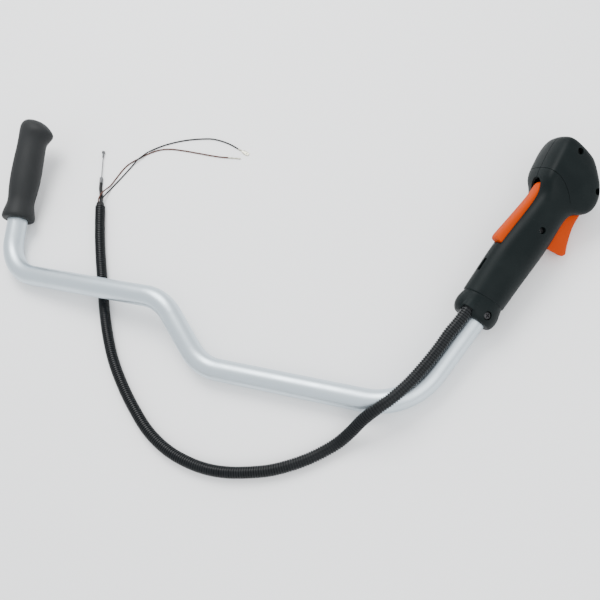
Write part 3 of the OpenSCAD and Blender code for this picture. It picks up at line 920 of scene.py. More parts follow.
def thread(name: str, route: Sequence[Vector], radius: float = 0.0, detail: int = 4) -> bpy.types.Object:
    """A poly curve along a route.

    Args:
        name: Its name.
        route: Points in metres.
        radius: Radius of its round section in metres, or 0 for a bare line.
        detail: Detail of the round section.

    Returns:
        The curve object.
    """
    curve = bpy.data.curves.new(name, "CURVE")
    curve.dimensions = "3D"
    curve.bevel_depth = radius
    curve.bevel_resolution = detail
    curve.use_fill_caps = radius > 0
    line = curve.splines.new("POLY")
    line.points.add(len(route) - 1)
    for point, place in zip(line.points, route):
        point.co = (*place, 1)
    line.use_smooth = True
    piece = bpy.data.objects.new(name, curve)
    bpy.context.scene.collection.objects.link(piece)
    return piece


def round_cord(name: str, route: Sequence[Vector], diameter: float, detail: int = 5) -> bpy.types.Object:
    """A plain round cord as a mesh.

    Args:
        name: Its name.
        route: Points in metres.
        diameter: Its diameter in metres.
        detail: Detail of its round section.

    Returns:
        The mesh object.
    """
    piece = thread(name, route, diameter / 2, detail)
    take(piece)
    bpy.ops.object.convert(target="MESH")
    piece = bpy.context.active_object
    with Bench(piece) as bench:
        bench.heal(1e-7)
    smooth(piece, 50)
    return piece


# ---------------------------------------------------------------- the handlebar's own places


def unit(v: Sequence[float]) -> Vector:
    """A vector of length 1."""
    return Vector(v).normalized()


def turned(turn: float, lean: float) -> Vector:
    """Direction with a compass angle from +X and a lean above the surface, in degrees."""
    a, b = math.radians(turn), math.radians(lean)
    return Vector((math.cos(b) * math.cos(a), math.cos(b) * math.sin(a), math.sin(b)))


def upright(corner: Point, turn: float, lean: float, palm: float) -> Matrix:
    """The frame of one of the bar's two uprights.

    Args:
        corner: The upright's corner in millimetres.
        turn: Its compass angle.
        lean: Its lean above the surface.
        palm: Angle of the frame's +X above the surface, on the upright's left.

    Returns:
        A matrix whose Z runs along the upright.
    """
    along = turned(turn, lean)
    left = turned(turn + 90, 0)
    up = along.cross(left)
    x = left * math.cos(math.radians(palm)) + up * math.sin(math.radians(palm))
    y = along.cross(x)
    frame_of = Matrix((x, y, along)).transposed().to_4x4()
    return Matrix.Translation(Vector(corner) * MM) @ frame_of


@dataclass(frozen=True)
class Places:
    """Corners and angles of the bar, as the CAD has them, in millimetres and degrees."""

    right_corner: Point = (119.1, 0.0, 0.0)
    right_turn: float = 65.8
    right_lean: float = 4.3
    palm_angle: float = 42.0
    elbow: Point = (-427.1, 73.4, -2.5)
    left_turn: float = 98.1
    left_lean: float = 10.0
    handle_start: float = 108.0
    tube_r: float = 12.5

    @property
    def handle(self) -> Matrix:
        """The throttle handle's frame."""
        return upright(self.right_corner, self.right_turn, self.right_lean, self.palm_angle)

    @property
    def grip(self) -> Matrix:
        """The left grip's frame, with +X away from the grip's left."""
        return upright(self.elbow, self.left_turn, self.left_lean, 180.0)

    def in_handle(self, x: float, y: float, s: float) -> Point:
        """A point of the throttle handle's frame, in the bar's frame and in millimetres."""
        return tuple((self.handle @ (Vector((x, y, s)) * MM)) / MM)


PLACES = Places()
LEAD_Z = -11.6


# ---------------------------------------------------------------- sub-assemblies


@dataclass
class Studio:
    """Camera, floor and light."""

    eye: Point = (0.2571, -0.1874, 0.7395)
    right: Point = (0.9290, 0.2700, -0.2530)
    up: Point = (-0.1514, 0.9013, 0.4060)
    lens: float = 45.0

    def camera(self) -> None:
        """Set the camera at the photograph's place."""
        right = unit(self.right)
        back = right.cross(unit(self.up)).normalized()
        up = back.cross(right)
        data = bpy.data.cameras.new("camera")
        data.lens = self.lens
        data.sensor_width = 36.0
        camera = bpy.data.objects.new("camera", data)
        camera.matrix_world = Matrix.Translation(self.eye) @ Matrix((right, up, back)).transposed().to_4x4()
        bpy.context.scene.collection.objects.link(camera)
        bpy.context.scene.camera = camera

    def floor(self) -> None:
        """Lay a plain pale floor."""
        drop_selection()
        bpy.ops.mesh.primitive_plane_add(size=14, location=(0, 0, FLOOR_Z - 0.0001))
        floor = set_down(active_as("floor"))
        paint = bpy.data.materials.new("pale_floor")
        paint.use_nodes = True
        shader = paint.node_tree.nodes["Principled BSDF"]
        shader.inputs["Base Color"].default_value = (0.93, 0.93, 0.93, 1)
        shader.inputs["Roughness"].default_value = 0.9
        floor.data.materials.append(paint)

    def lamp(self, name: str, place: Point, aim: Point, size: tuple[float, float], power: float) -> None:
        """Hang one soft light.

        Args:
            name: Its name.
            place: Where it hangs.
            aim: What it points at.
            size: Its width and height.
            power: Its power in watts.
        """
        data = bpy.data.lights.new(name, "AREA")
        data.shape = "RECTANGLE"
        data.size, data.size_y = size
        data.energy = power
        light = bpy.data.objects.new(name, data)
        light.location = place
        light.rotation_euler = (Vector(aim) - Vector(place)).to_track_quat("-Z", "Y").to_euler()
        bpy.context.scene.collection.objects.link(light)

    def light(self) -> None:
        """Light the scene softly from all round, with two large lamps."""
        world = bpy.data.worlds.new("studio")
        world.use_nodes = True
        world.node_tree.nodes["Background"].inputs["Color"].default_value = (0.95, 0.975, 1.0, 1)
        world.node_tree.nodes["Background"].inputs["Strength"].default_value = 1.45
        bpy.context.scene.world = world
        middle = (-0.05, 0.1, 0.0)
        self.lamp("key", (-0.5, 0.9, 1.3), middle, (0.9, 0.9), 26)
        self.lamp("fill", (0.9, -0.6, 1.1), middle, (1.2, 1.2), 12)


@dataclass
class Conduit:
    """The corrugated conduit's hose."""

    diameter: float = 12.94
    groove: float = 11.0
    pitch: float = 2.72
    sides: int = 18
    route: list[Point] = field(
        default_factory=lambda: [
            PLACES.in_handle(17.2, 10.3, 108 + 15.9),
            PLACES.in_handle(17.2, 10.3, 108 + 6),
            PLACES.in_handle(17.2, 10.3, 108 - 8),
            (147.4, 79.5, 25.6), (139.8, 62, 23.8), (129.4, 41, 22), (117.4, 20, 21), (103.6, 1, 20.4),
            (90, -12.5, 17.2), (78, -23.8, 9.8), (68, -35.4, 1.8), (56.8, -47.8, -3.8), (44, -59.4, -5.8),
            (30, -70.6, -6), (12.8, -81.6, -6), (-7, -91.6, -6), (-28, -98.6, -6), (-49.4, -103.8, -6),
            (-72, -106.2, -6), (-98, -104.4, -6), (-127.8, -97, -6), (-157, -82.6, -6), (-182, -63.4, -6),
            (-207, -40.4, -6), (-233, -11.4, -6), (-254.4, 19.6, -6), (-271, 48.6, -6), (-285.6, 77.6, -6),
            (-301, 107.4, -6), (-315.4, 137.4, -6), (-326, 162, -6), (-335, 184, -6),
        ]
    )

    def rib(self) -> bpy.types.Object:
        """One rib and one groove of the hose, open at both ends, along X.

        Returns:
            The mesh object.
        """
        low, high, p = self.groove / 2, self.diameter / 2, self.pitch
        steps = [(0.28 * p, low), (0.42 * p, high), (0.86 * p, high), (p, low)]
        drop_selection()
        bpy.ops.mesh.primitive_circle_add(
            vertices=self.sides, radius=low * MM, fill_type="NOTHING", rotation=(0, math.radians(90), 0)
        )
        piece = set_down(active_as("conduit_hose"))
        with Bench(piece) as bench:
            bench.everything()
            x, r = 0.0, low
            for next_x, next_r in steps:
                bench.extrude(((next_x - x) * MM, 0, 0))
                bench.resize((1, next_r / r, next_r / r), (next_x * MM, 0, 0))
                x, r = next_x, next_r
            bench.heal()
        return piece

    def hose(self, shop: Paintshop) -> tuple[bpy.types.Object, list[Vector]]:
        """Repeat the rib along the route.

        Args:
            shop: Where it gets its finish.

        Returns:
            The hose and its route.
        """
        route = smooth_route(self.route, self.diameter / 2)
        line = thread("conduit_line", route)
        piece = self.rib()
        count = int(route_length(route) / (self.pitch * MM))
        length = route_length(route)
        with Bench(piece) as bench:
            bench.everything()
            bench.resize((length / (count * self.pitch * MM), 1, 1), (0, 0, 0))
        apply_modifier(
            piece, "ARRAY", count=count, use_relative_offset=True, relative_offset_displace=(1, 0, 0),
            use_merge_vertices=True, merge_threshold=1e-5,
        )
        apply_modifier(piece, "CURVE", object=line, deform_axis="POS_X")
        scrap(line)
        with Bench(piece) as bench:
            bench.everything()
            bpy.ops.mesh.fill_holes(sides=0)
            bench.heal(1e-7)
        smooth(piece, 32)
        shop.dress(piece, Stuff.CONDUIT, "bar", "conduit_plastic", "conduit")
        return piece, route


ALONG = Vector((-0.3786, 0.9255, 0.0)).normalized()
CONDUIT_END = Vector((-335, 184, -6))
PLUG_FACE = CONDUIT_END + 6.1 * ALONG


def facing(start: Vector, way: Vector) -> Matrix:
    """A frame at a place in millimetres, with its Z along a direction.

    Args:
        start: Its origin.
        way: The direction.

    Returns:
        The frame, in metres.
    """
    return Matrix.Translation(start * MM) @ way.to_track_quat("Z", "Y").to_matrix().to_4x4()


@dataclass
class EndPlug:
    """The tapered rubber plug in the conduit's open end, which the cable and the leads leave."""

    profile: tuple[tuple[float, float], ...] = (
        (0.05, 5.2), (0.05, 5.5), (0.3, 5.6), (1.2, 5.6), (1.5, 5.35), (3.5, 5.0), (5.4, 4.72), (5.9, 4.5), (6.05, 4.0),
        (6.05, 3.0),
    )

    def build(self, shop: Paintshop) -> bpy.types.Object:
        """Model the plug.

        Args:
            shop: Where it gets its finish.

        Returns:
            The piece.
        """
        piece = lathed("end_plug", self.profile, 48)
        set_down(piece, facing(CONDUIT_END, ALONG))
        smooth(piece, 40)
        return shop.dress(piece, Stuff.PLUG, "bar", "plug_rubber", "conduit_end_plug")


@dataclass
class Cable:
    """The throttle cable beyond the conduit: sheath, ferrule, stranded wire and nipple."""

    diameter: float = 4.5
    end: Point = (-352.0, 221.0, -10.2)
    turn: float = 109.0
    ferrule_length: float = 9.0
    shown: float = 40.0
    wire_radius: float = 0.7
    lay_length: float = 10.0

    @property
    def way(self) -> Vector:
        """Direction of the cable's straight end."""
        return turned(self.turn, 0)

    def sheath(self, shop: Paintshop) -> tuple[bpy.types.Object, list[Vector]]:
        """Model the sheath.

        Args:
            shop: Where it gets its finish.

        Returns:
            The sheath and its route.
        """
        start, end = PLUG_FACE + Vector((0, 0, -2.2)), Vector(self.end)
        route = smooth_route([start, start + 5 * ALONG, (-344.4, 204.5, -9.4), end - 8 * self.way, end], self.diameter / 2, 0.8)
        piece = round_cord("cable_sheath_cover", route, self.diameter * MM)
        return shop.dress(piece, Stuff.SHEATH, "bar", "sheath_plastic", "cable_sheath"), route

    def ferrule(self, shop: Paintshop) -> bpy.types.Object:
        """Model the crimped steel ferrule on the sheath's end.

        Args:
            shop: Where it gets its finish.

        Returns:
            The piece.
        """
        length = self.ferrule_length
        profile = [
            (0.1, 2.05), (0.1, 2.2), (0.25, 2.3), (1.9, 2.3), (2.1, 2.12), (2.9, 2.12), (3.1, 2.3), (4.6, 2.3),
            (4.8, 2.12), (5.6, 2.12), (5.8, 2.3), (8.2, 2.3), (8.7, 2.2), (length, 1.9), (length, 0.95), (length - 0.8, 0.85),
        ]
        piece = lathed("cable_ferrule", profile, 40)
        set_down(piece, facing(Vector(self.end), self.way))
        smooth(piece, 38)
        return shop.dress(piece, Stuff.DULL_ZINC, "bar", "zinc_steel", "cable_end_ferrule")

    def wire(self, shop: Paintshop) -> bpy.types.Object:
        """Model the wire as one core and six strands laid round it.

        Args:
            shop: Where it gets its finish.

        Returns:
            The piece.
        """
        start = Vector(self.end) + (self.ferrule_length - 0.9) * self.way
        place = facing(start, self.way)
        strand = self.wire_radius / 3
        steps = 90
        core = round_cord("throttle_wire_strands", [Vector((0, 0, self.shown * k / 4)) * MM for k in range(5)], 2 * strand * MM)
        lay = [
            Vector((math.cos(a) * 2 * strand, math.sin(a) * 2 * strand, self.shown * k / steps)) * MM
            for k in range(steps + 1)
            for a in [math.tau * self.shown * k / steps / self.lay_length]
        ]
        first = round_cord("strand", lay, 2 * strand * MM, 2)
        strands = [core, first, *(twin(first, f"strand_{k}") for k in range(1, 6))]
        for k, piece in enumerate(strands[2:], 1):
            set_down(piece, Matrix.Rotation(math.tau * k / 6, 4, "Z"))
        drop_selection()
        for piece in strands:
            piece.select_set(True)
        bpy.context.view_layer.objects.active = core
        bpy.ops.object.join()
        set_down(core, place)
        return shop.dress(core, Stuff.WIRE, "cable_wire", "wire_steel", "throttle_wire")

    def nipple(self, shop: Paintshop) -> bpy.types.Object:
        """Model the nipple cast on the wire's end.

        Args:
            shop: Where it gets its finish.

        Returns:
            The piece.
        """
        start = Vector(self.end) + (self.ferrule_length - 0.9 + self.shown) * self.way
        profile = [
            (-6, 0.8), (-6, 1.05), (-5.85, 1.2), (-0.2, 1.2), (0.5, 1.25), (0.9, 1.9), (1.1, 2.1), (3.4, 2.2), (3.8, 2.0),
            (4, 1.6), (4, 0.6),
        ]
        piece = lathed("cable_nipple", profile, 32)
        set_down(piece, facing(start, self.way))
        smooth(piece, 38)
        return shop.dress(piece, Stuff.DULL_ZINC, "cable_wire", "zinc_steel", "wire_nipple")


@dataclass
class Leads:
    """The two stop switch leads beyond the conduit."""

    diameter: float = 1.8
    black: list[Point] = field(
        default_factory=lambda: [
            (-336.8, 198, -5.7), (-336.7, 203.5, -8.2), (-336.1, 209, -10.3), (-334.6, 215, LEAD_Z),
            (-331.2, 222.6, LEAD_Z),
            (-327, 231.2, LEAD_Z), (-322.8, 240.2, LEAD_Z), (-318.9, 249, LEAD_Z), (-315.4, 256.4, LEAD_Z + 0.4),
            (-311.8, 262.3, LEAD_Z + 1.5), (-306.8, 268.4, LEAD_Z + 2), (-302, 274.8, LEAD_Z + 1.5),
            (-297, 280.2, LEAD_Z + 0.4), (-284, 288.7, LEAD_Z), (-267, 296.2, LEAD_Z), (-250, 301.5, LEAD_Z),
            (-233, 304.8, LEAD_Z), (-215.2, 306.5, LEAD_Z), (-198, 304, LEAD_Z), (-185, 300, LEAD_Z),
            (-173.5, 295.1, LEAD_Z),
        ]
    )
    brown: list[Point] = field(
        default_factory=lambda: [
            (-341.4, 199.6, -4.8), (-341.4, 206, -6.6), (-339.8, 213, -9.4), (-336.8, 221, LEAD_Z),
            (-331.8, 236.4, LEAD_Z), (-328.4, 246, LEAD_Z), (-323.8, 254.4, LEAD_Z), (-313.2, 264.4, LEAD_Z),
            (-301.1, 273.8, LEAD_Z), (-286.7, 281.6, LEAD_Z), (-271.7, 284.8, LEAD_Z), (-250.2, 284.5, LEAD_Z),
            (-230, 283, LEAD_Z), (-209, 281.2, LEAD_Z), (-194, 280.4, LEAD_Z), (-183, 280.6, LEAD_Z),
        ]
    )

    def lead(self, shop: Paintshop, colour: str) -> tuple[bpy.types.Object, list[Vector]]:
        """Model one lead.

        Args:
            shop: Where it gets its finish.
            colour: black or brown.

        Returns:
            The lead and its route.
        """
        if colour == "black":
            start, points, run, stuff = PLUG_FACE + Vector((2.4, 1, 1.4)), self.black, 2.5, Stuff.BLACK_LEAD
        else:
            start, points, run, stuff = PLUG_FACE + Vector((-1.4, -0.6, 2)), self.brown, 5, Stuff.BROWN_LEAD
        route = smooth_route([start, start + run * ALONG, *points], self.diameter / 2, 1.0)
        piece = round_cord(f"{colour}_stop_lead", route, self.diameter * MM, 3)
        return shop.dress(piece, stuff, "bar", f"{colour}_insulation", f"{colour}_lead"), route


@dataclass
class Terminals:
    """The tinned terminals crimped on the two leads."""

    barrel: tuple[tuple[float, float], ...] = (
        (0.05, 0.5), (0.05, 0.8), (0.2, 0.88), (1.7, 0.88), (1.9, 0.74), (2.5, 0.74), (2.7, 0.88), (4.6, 0.88),
        (4.8, 0.74), (5.4, 0.74), (5.6, 0.85), (6.6, 0.8), (7.4, 0.4),
    )
    pin: tuple[tuple[float, float], ...] = (
        (0.05, 0.5), (0.05, 0.8), (0.2, 0.88), (3.2, 0.88), (3.4, 0.74), (4.1, 0.74), (4.3, 0.88), (7.6, 0.88),
        (8.2, 0.68), (10.8, 0.68), (11.6, 0.84), (12.4, 0.88), (15.8, 0.8), (17, 0.66), (17.7, 0.42), (18, 0.15),
    )
    tongue: tuple[tuple[float, float], ...] = (
        (6.2, 0.7), (7.2, 0.8), (8.2, 1.5), (9.2, 2.25), (10, 2.4), (16.6, 2.4), (17.7, 2.0), (18.3, 1.3), (18.5, 0.5),
    )
    hole: float = 15.5

    def flag(self, shop: Paintshop, lead: Sequence[Point]) -> bpy.types.Object:
        """Model the black lead's flat tongue with its hole, lying flat.

        Args:
            shop: Where it gets its finish.
            lead: The lead's points.

        Returns:
            The piece.
        """
        piece = lathed("black_lead_tongue", self.barrel, 28)
        set_down(piece, Matrix.Rotation(math.radians(90), 4, "Y"))
        half = list(self.tongue)
        outline = [*half, *[(x, -z) for x, z in reversed(half)]]
        plate = outline_block("tongue_plate", outline, -0.32, 0.32)
        apply_modifier(plate, "BEVEL", width=0.1 * MM, segments=2, limit_method="ANGLE")
        carve(piece, [plate], "UNION")
        carve(piece, [cross_drum("tongue_hole", 0.9, -3, 3, (self.hole, 0), 32)])
        end, way = Vector(lead[-1]), (Vector(lead[-1]) - Vector(lead[-2])).normalized()
        way.z = 0
        up = Vector((0, 0, 1))
        place = Matrix((way, up, way.cross(up))).transposed().to_4x4()
        set_down(piece, Matrix.Translation(end * MM) @ place)
        smooth(piece, 38)
        return shop.dress(piece, Stuff.TIN, "bar", "tinned_terminal", "black_terminal")

    def bullet(self, shop: Paintshop, lead: Sequence[Point]) -> bpy.types.Object:
        """Model the brown lead's round pin.

        Args:
            shop: Where it gets its finish.
            lead: The lead's points.

        Returns:
            The piece.
        """
        piece = lathed("brown_lead_pin", self.pin, 32)
        end, way = Vector(lead[-1]), (Vector(lead[-1]) - Vector(lead[-2])).normalized()
        set_down(piece, facing(end, way))
        smooth(piece, 38)
        return shop.dress(piece, Stuff.TIN, "bar", "tinned_terminal", "brown_terminal")


@dataclass
class ThrottleHandle:
    """The two-piece plastic handle on the right upright, modelled in its own frame in millimetres.

    The frame's Z runs along the tube from the bend, X points to the palm and Y to the front.
    """

    start: float = 108.0
    wall: float = 2.6
    seam: float = 0.09
    bore: float = 12.55
    palm_drop: float = 0.17
    tube_end: float = 200.2
    rows: tuple[tuple[float, ...], ...] = (
        (4.2, -16, 21.6, 15.5, 15, 2.2, 0.07), (5.0, -17.6, 23.2, 16.9, 15.9, 2.2, 0.07),
        (6.8, -19.2, 25.4, 18.6, 17, 2.2, 0.07), (11, -20.4, 28, 20, 17.6, 2.2, 0.08), (17.5, -20, 29.1, 20, 17.6, 2.2, 0.1),
        (23, -17.9, 28.5, 19.4, 17.4, 2.2, 0.12), (28.3, -16.2, 27.2, 19.05, 17.22, 2.2, 0.12),
        (29, -16, 27.4, 19, 17.2, 2.2, 0.12), (29.4, -17.6, 28.6, 20.2, 18.4, 2.1, 0.12),
        (30.3, -17.6, 28.65, 20.19, 18.41, 2.1, 0.117), (36, -17.55, 29, 20.15, 18.5, 2.1, 0.096),
        (62, -17.4, 30.9, 19.8, 19, 2.1, 0), (80, -17.6, 32, 19.9, 19.3, 2.1, 0), (104, -17.8, 31.4, 20, 19.6, 2.1, 0),
        (124, -15.8, 30.2, 20.2, 20, 2.2, 0), (140, -13, 29.8, 20.6, 20.8, 2.35, 0), (150, -12.6, 31, 21, 21.8, 2.5, 0),
        (157, -15.6, 34.4, 21.6, 23.4, 3.1, 0), (162, -22.4, 38.4, 22, 25, 4.2, 0), (168, -27, 41, 22.6, 26.5, 4.8, 0),
        (174, -28, 42.4, 23, 27.5, 5, 0), (182, -27.8, 43.8, 23, 27.5, 5, 0), (190, -24.1, 45.5, 23, 27.6, 5, 0),
        (198, -17.7, 46.5, 22.6, 27.5, 4.7, 0), (205, -9.8, 47, 21.5, 26.4, 4.2, 0),
        (210, -3.4, 46.6, 20.4, 23.6, 3.9, 0), (213.4, 1.6, 44.8, 19, 17.8, 3.7, 0), (215.9, 7.4, 42, 15.6, 12.4, 3.1, 0),
        (217.2, 14, 40.2, 10, 8.4, 2.9, 0),
    )
    screws: tuple[Point, ...] = ((26, 315, 13), (-16.5, 297, 13), (7.2, 226, 14.5))
    ribs: tuple[float, ...] = (150, 184, 201.2)
    step_line: tuple[tuple[float, float], ...] = (
        (56, 284.4), (50, 283.6), (44, 282.5), (36, 280.6), (27, 279.8), (19, 277.6), (12, 274.3), (6, 270.6), (1, 266.5),
    )

    def form(self, name: str, inset: float = 0.0, first: float = 0.0, levels: int = 2) -> bpy.types.Object:
        """The handle's outer form, or with an inset its inner one.

        Args:
            name: The piece's name.
            inset: How far it is taken inwards.
            first: Distance along the handle from which it is drawn.
            levels: How often it is subdivided.

        Returns:
            A closed mesh.
        """
        last = 217.3 if inset < 1 else 216.1
        rows = [row for row in self.rows if first <= row[0] <= last]
        full = [rows[0]]
        for one, other in zip(rows, rows[1:]):
            if one[0] >= 190 and inset < 1:
                full.append(tuple((a + b) / 2 for a, b in zip(one, other)))
            full.append(other)
        drops = [self.palm_drop * min(max((row[0] - 146) / 24, 0), 1, (227 - row[0]) / 20) for row in full]
        sections = [Section(self.start + row[0], *row[1:], drop=drop) for row, drop in zip(full, drops)]
        return Drawn(name, sections, inset).make(levels)

    def cavity(self) -> bpy.types.Object:
        """What is taken out of the handle: its inner form, without the ribs and bosses that stand in it.

        Returns:
            A closed mesh.
        """
        hollow = self.form("hollow", self.wall, 29.4, 1)
        standing: list[bpy.types.Object] = []
        for z in self.ribs:
            rib = block("rib", (-60, -60, z), (60, 60, z + 3))
            carve(rib, [block("notch", (12, -9, z - 1), (25, 13, z + 4))])
            standing.append(rib)
        for x, z, _ in self.screws:
            standing.append(cross_drum("boss", 4.2, -50, 50, (x, z), 24))
        for x, z, radius in ((-6, 282, 4.5), (26, 266, 3.7)):
            standing += [cross_drum("boss", radius, 7.5, 50, (x, z), 24), cross_drum("boss", radius, -50, -7.5, (x, z), 24)]
        carve(hollow, standing)
        return hollow

    def whole(self) -> bpy.types.Object:
        """The handle in one piece, before it is parted.

        Returns:
            A closed mesh.
        """
        body = self.form("handle_whole")
        hood = lathed("hood", [(117.0, 8.6), (125, 8.6), (126.5, 8.25), (133.4, 5.3), (134, 4.7)], 48)
        set_down(hood, Matrix.Translation((17.2 * MM, 10.3 * MM, 0)))
        carve(body, [hood], "UNION")
        carve(
            body,
            [
                self.cavity(),
                drum("bore", self.bore, 100, self.tube_end, (0, 0), 96),
                drum("socket", 6.8, 100, 124, (17.2, 10.3), 48),
                drum("passage", 4.7, 122, 139, (16.8, 9.9), 32),
                block("trigger_slot", (-60, -7.6, 217.5), (-6, 7.6, 276)),
                block("lever_slot", (18, -7.6, 190.5), (60, 7.6, 264.9)),
                side_drum("lever_slot_end", 7.6, 18, 60, (0, 264.9)),
                block("palm_slot", (27.6, -1.4, 156.5), (40, 3.2, 171)),
                cross_drum("trigger_bore", 2.05, -17.2, 17.2, (-6, 282), 24),
                cross_drum("lever_bore", 1.55, -15.2, 15.2, (26, 266), 24),
                cross_drum("bolt_bore", 2.6, -60, 60, (0, 122), 32),
            ],
        )
        seam = block("seam", (-80, -0.3, 100), (80, 0.3, 340))
        carve(seam, [self.form("seam_core", 0.45)])
        carve(body, [seam])
        return body

    def step_cut(self, points: int, low: float, high: float) -> bpy.types.Object:
        """The thin sheet that cuts the line where the head meets the grip, as deep as the line.

        Args:
            points: How many points of the line it follows, from the palm side.
            low: Y of its rear edge.
            high: Y of its front edge.

        Returns:
            A closed mesh.
        """
        line = self.step_line[:points]
        upper = [(x, z + 0.3) for x, z in line]
        lower = [(x, z - 0.3) for x, z in reversed(line)]
        sheet = outline_block("step_cut", [*upper, *lower], low, high)
        carve(sheet, [self.form("step_core", 0.6, 100, 2)])
        return sheet

    def front(self, shop: Paintshop, whole: bpy.types.Object) -> bpy.types.Object:
        """Part off and finish the front shell, with its screw and bolt recesses.

        Args:
            shop: Where it gets its finish.
            whole: The handle in one piece.

        Returns:
            The piece.
        """
        piece = twin(whole, "throttle_handle_front")
        carve(piece, [block("half", (-80, self.seam, 90), (80, 80, 340))], "INTERSECT")
        tools = [cross_drum("recess", 4.6, 15.5, 60, (0, 122))]
        for x, z, seat in self.screws:
            tools += [cross_drum("hole", 1.9, -1, 60, (x, z), 24), cross_drum("recess", 3.6, seat, 60, (x, z))]
        carve(piece, [*tools, self.step_cut(9, -0.5, 40)])
        return self.finish(shop, piece, "handle_front_shell")

    def rear(self, shop: Paintshop, whole: bpy.types.Object) -> bpy.types.Object:
        """Part off and finish the rear shell, with its nut pocket and the slot of the stop slider.

        Args:
            shop: Where it gets its finish.
            whole: The handle in one piece.

        Returns:
            The piece.
        """
        piece = twin(whole, "throttle_handle_rear")
        carve(piece, [block("half", (-80, -80, 90), (80, -self.seam, 340))], "INTERSECT")
        tools = [cross_drum("nut_pocket", 8 / 2 / math.cos(math.radians(30)) + 0.2, -60, -14.4, (0, 122), 6)]
        tools += [cross_drum("hole", 1.72, -12.5, 1, (x, z), 24) for x, z, _ in self.screws]
        tools += [block("slider_slot", (10.6, -60, 289.6), (17.4, -15, 304.4)), self.step_cut(4, -15, 0.5)]
        carve(piece, tools)
        return self.finish(shop, piece, "handle_rear_shell")

    def finish(self, shop: Paintshop, piece: bpy.types.Object, node: str) -> bpy.types.Object:
        """Clean a shell, shade it smooth and hang it on the bar.

        Args:
            shop: Where it gets its finish.
            piece: The shell, in the handle's frame.
            node: The CAD node that it stands for.

        Returns:
            The piece.
        """
        with Bench(piece) as bench:
            bench.everything()
            bpy.ops.mesh.remove_doubles(threshold=2e-5)
            bpy.ops.mesh.dissolve_degenerate(threshold=2e-5)
        set_down(piece, PLACES.handle)
        smooth(piece, 32)
        return shop.dress(piece, Stuff.SHELL, "bar", "handle_plastic", node)

    def build(self, shop: Paintshop) -> None:
        """Model both shells.

        Args:
            shop: Where they get their finish.
        """
        whole = self.whole()
        self.front(shop, whole)
        self.rear(shop, whole)
        scrap(whole)


@dataclass
class Trigger:
    """The throttle trigger, modelled in the handle's frame in millimetres."""

    start: float = 108.0
    half: float = 7.0
    rows: tuple[tuple[float, ...], ...] = (
        (110.1, -31.4, -16.5, 5.4, 4.2, 0.25, 0.3), (110.4, -34.6, -14.2, 6.4, 4.6, 0.25, 0.3),
        (111.3, -36.7, -12.8, 6.9, 4.8, 0.25, 0.3), (113, -38.1, -12, 7, 4.8, 0.25, 0.28),
        (115.6, -38.2, -11.6, 7, 4.8, 0.24, 0.24), (119.6, -37, -11.2, 7, 4.8, 0.18, 0.18),
        (125, -35.3, -10.8, 7, 4.8, 0.1, 0.1), (133, -32.4, -10.4, 7, 4.8, 0.03, 0.03), (141, -29.2, -9.6, 7, 4.8, 0, 0),
        (148, -26.8, -8.5, 7, 4.8, 0, 0), (154, -25.6, -6.6, 7, 4.8, 0, 0), (160, -25.2, -4.2, 7, 4.8, 0, 0),
        (166, -24.8, 0, 7, 4.8, 0, 0), (170, -22, 3, 7, 4.6, 0, 0), (174, -18.2, 3.2, 7, 4.4, 0, 0),
        (178, -14.2, 2.4, 6.9, 4, 0, 0), (180.6, -11, 0.4, 6.6, 3.4, 0, 0), (182, -8.6, -2.4, 6.2, 3, 0, 0),
    )
    pivot: tuple[float, float] = (-6.0, 282.0)
    nipple: tuple[float, float] = (22.0, 280.0)

    def build(self, shop: Paintshop) -> bpy.types.Object:
        """Model the trigger: blade, hub and the arm that pulls the cable.

        Args:
            shop: Where it gets its finish.

        Returns:
            The piece.
        """
        sections = [Section(self.start + z, low, high, w, w, *rest) for z, low, high, w, *rest in self.rows]
        piece = Drawn("orange_throttle_trigger", sections).make()
        arm = block("arm", (-6, -3.5, self.start + 169.3), (25.4, 3.5, self.start + 175.4))
        apply_modifier(arm, "BEVEL", width=1.2 * MM, segments=3)
        carve(piece, [arm], "UNION")
        x, z = self.pivot
        carve(
            piece,
            [
                cross_drum("hub_bore", 2.05, -30, 30, self.pivot, 24),
                cross_drum("spring_room", 5.4, 2.6, 30, self.pivot, 32),
                block("leg_room", (x, 4.6, z - 0.4), (x + 20, 14.6, z + 7.6)),
                cross_drum("nipple_bore", 2.55, -30, 30, self.nipple, 24),
                block("wire_slot", (20.5, -1, 258), (23.5, 1, 280)),
            ],
        )
        set_down(piece, PLACES.handle)
        smooth(piece, 38)
        return shop.dress(piece, Stuff.TRIGGER, "trigger", "trigger_plastic", "throttle_trigger")


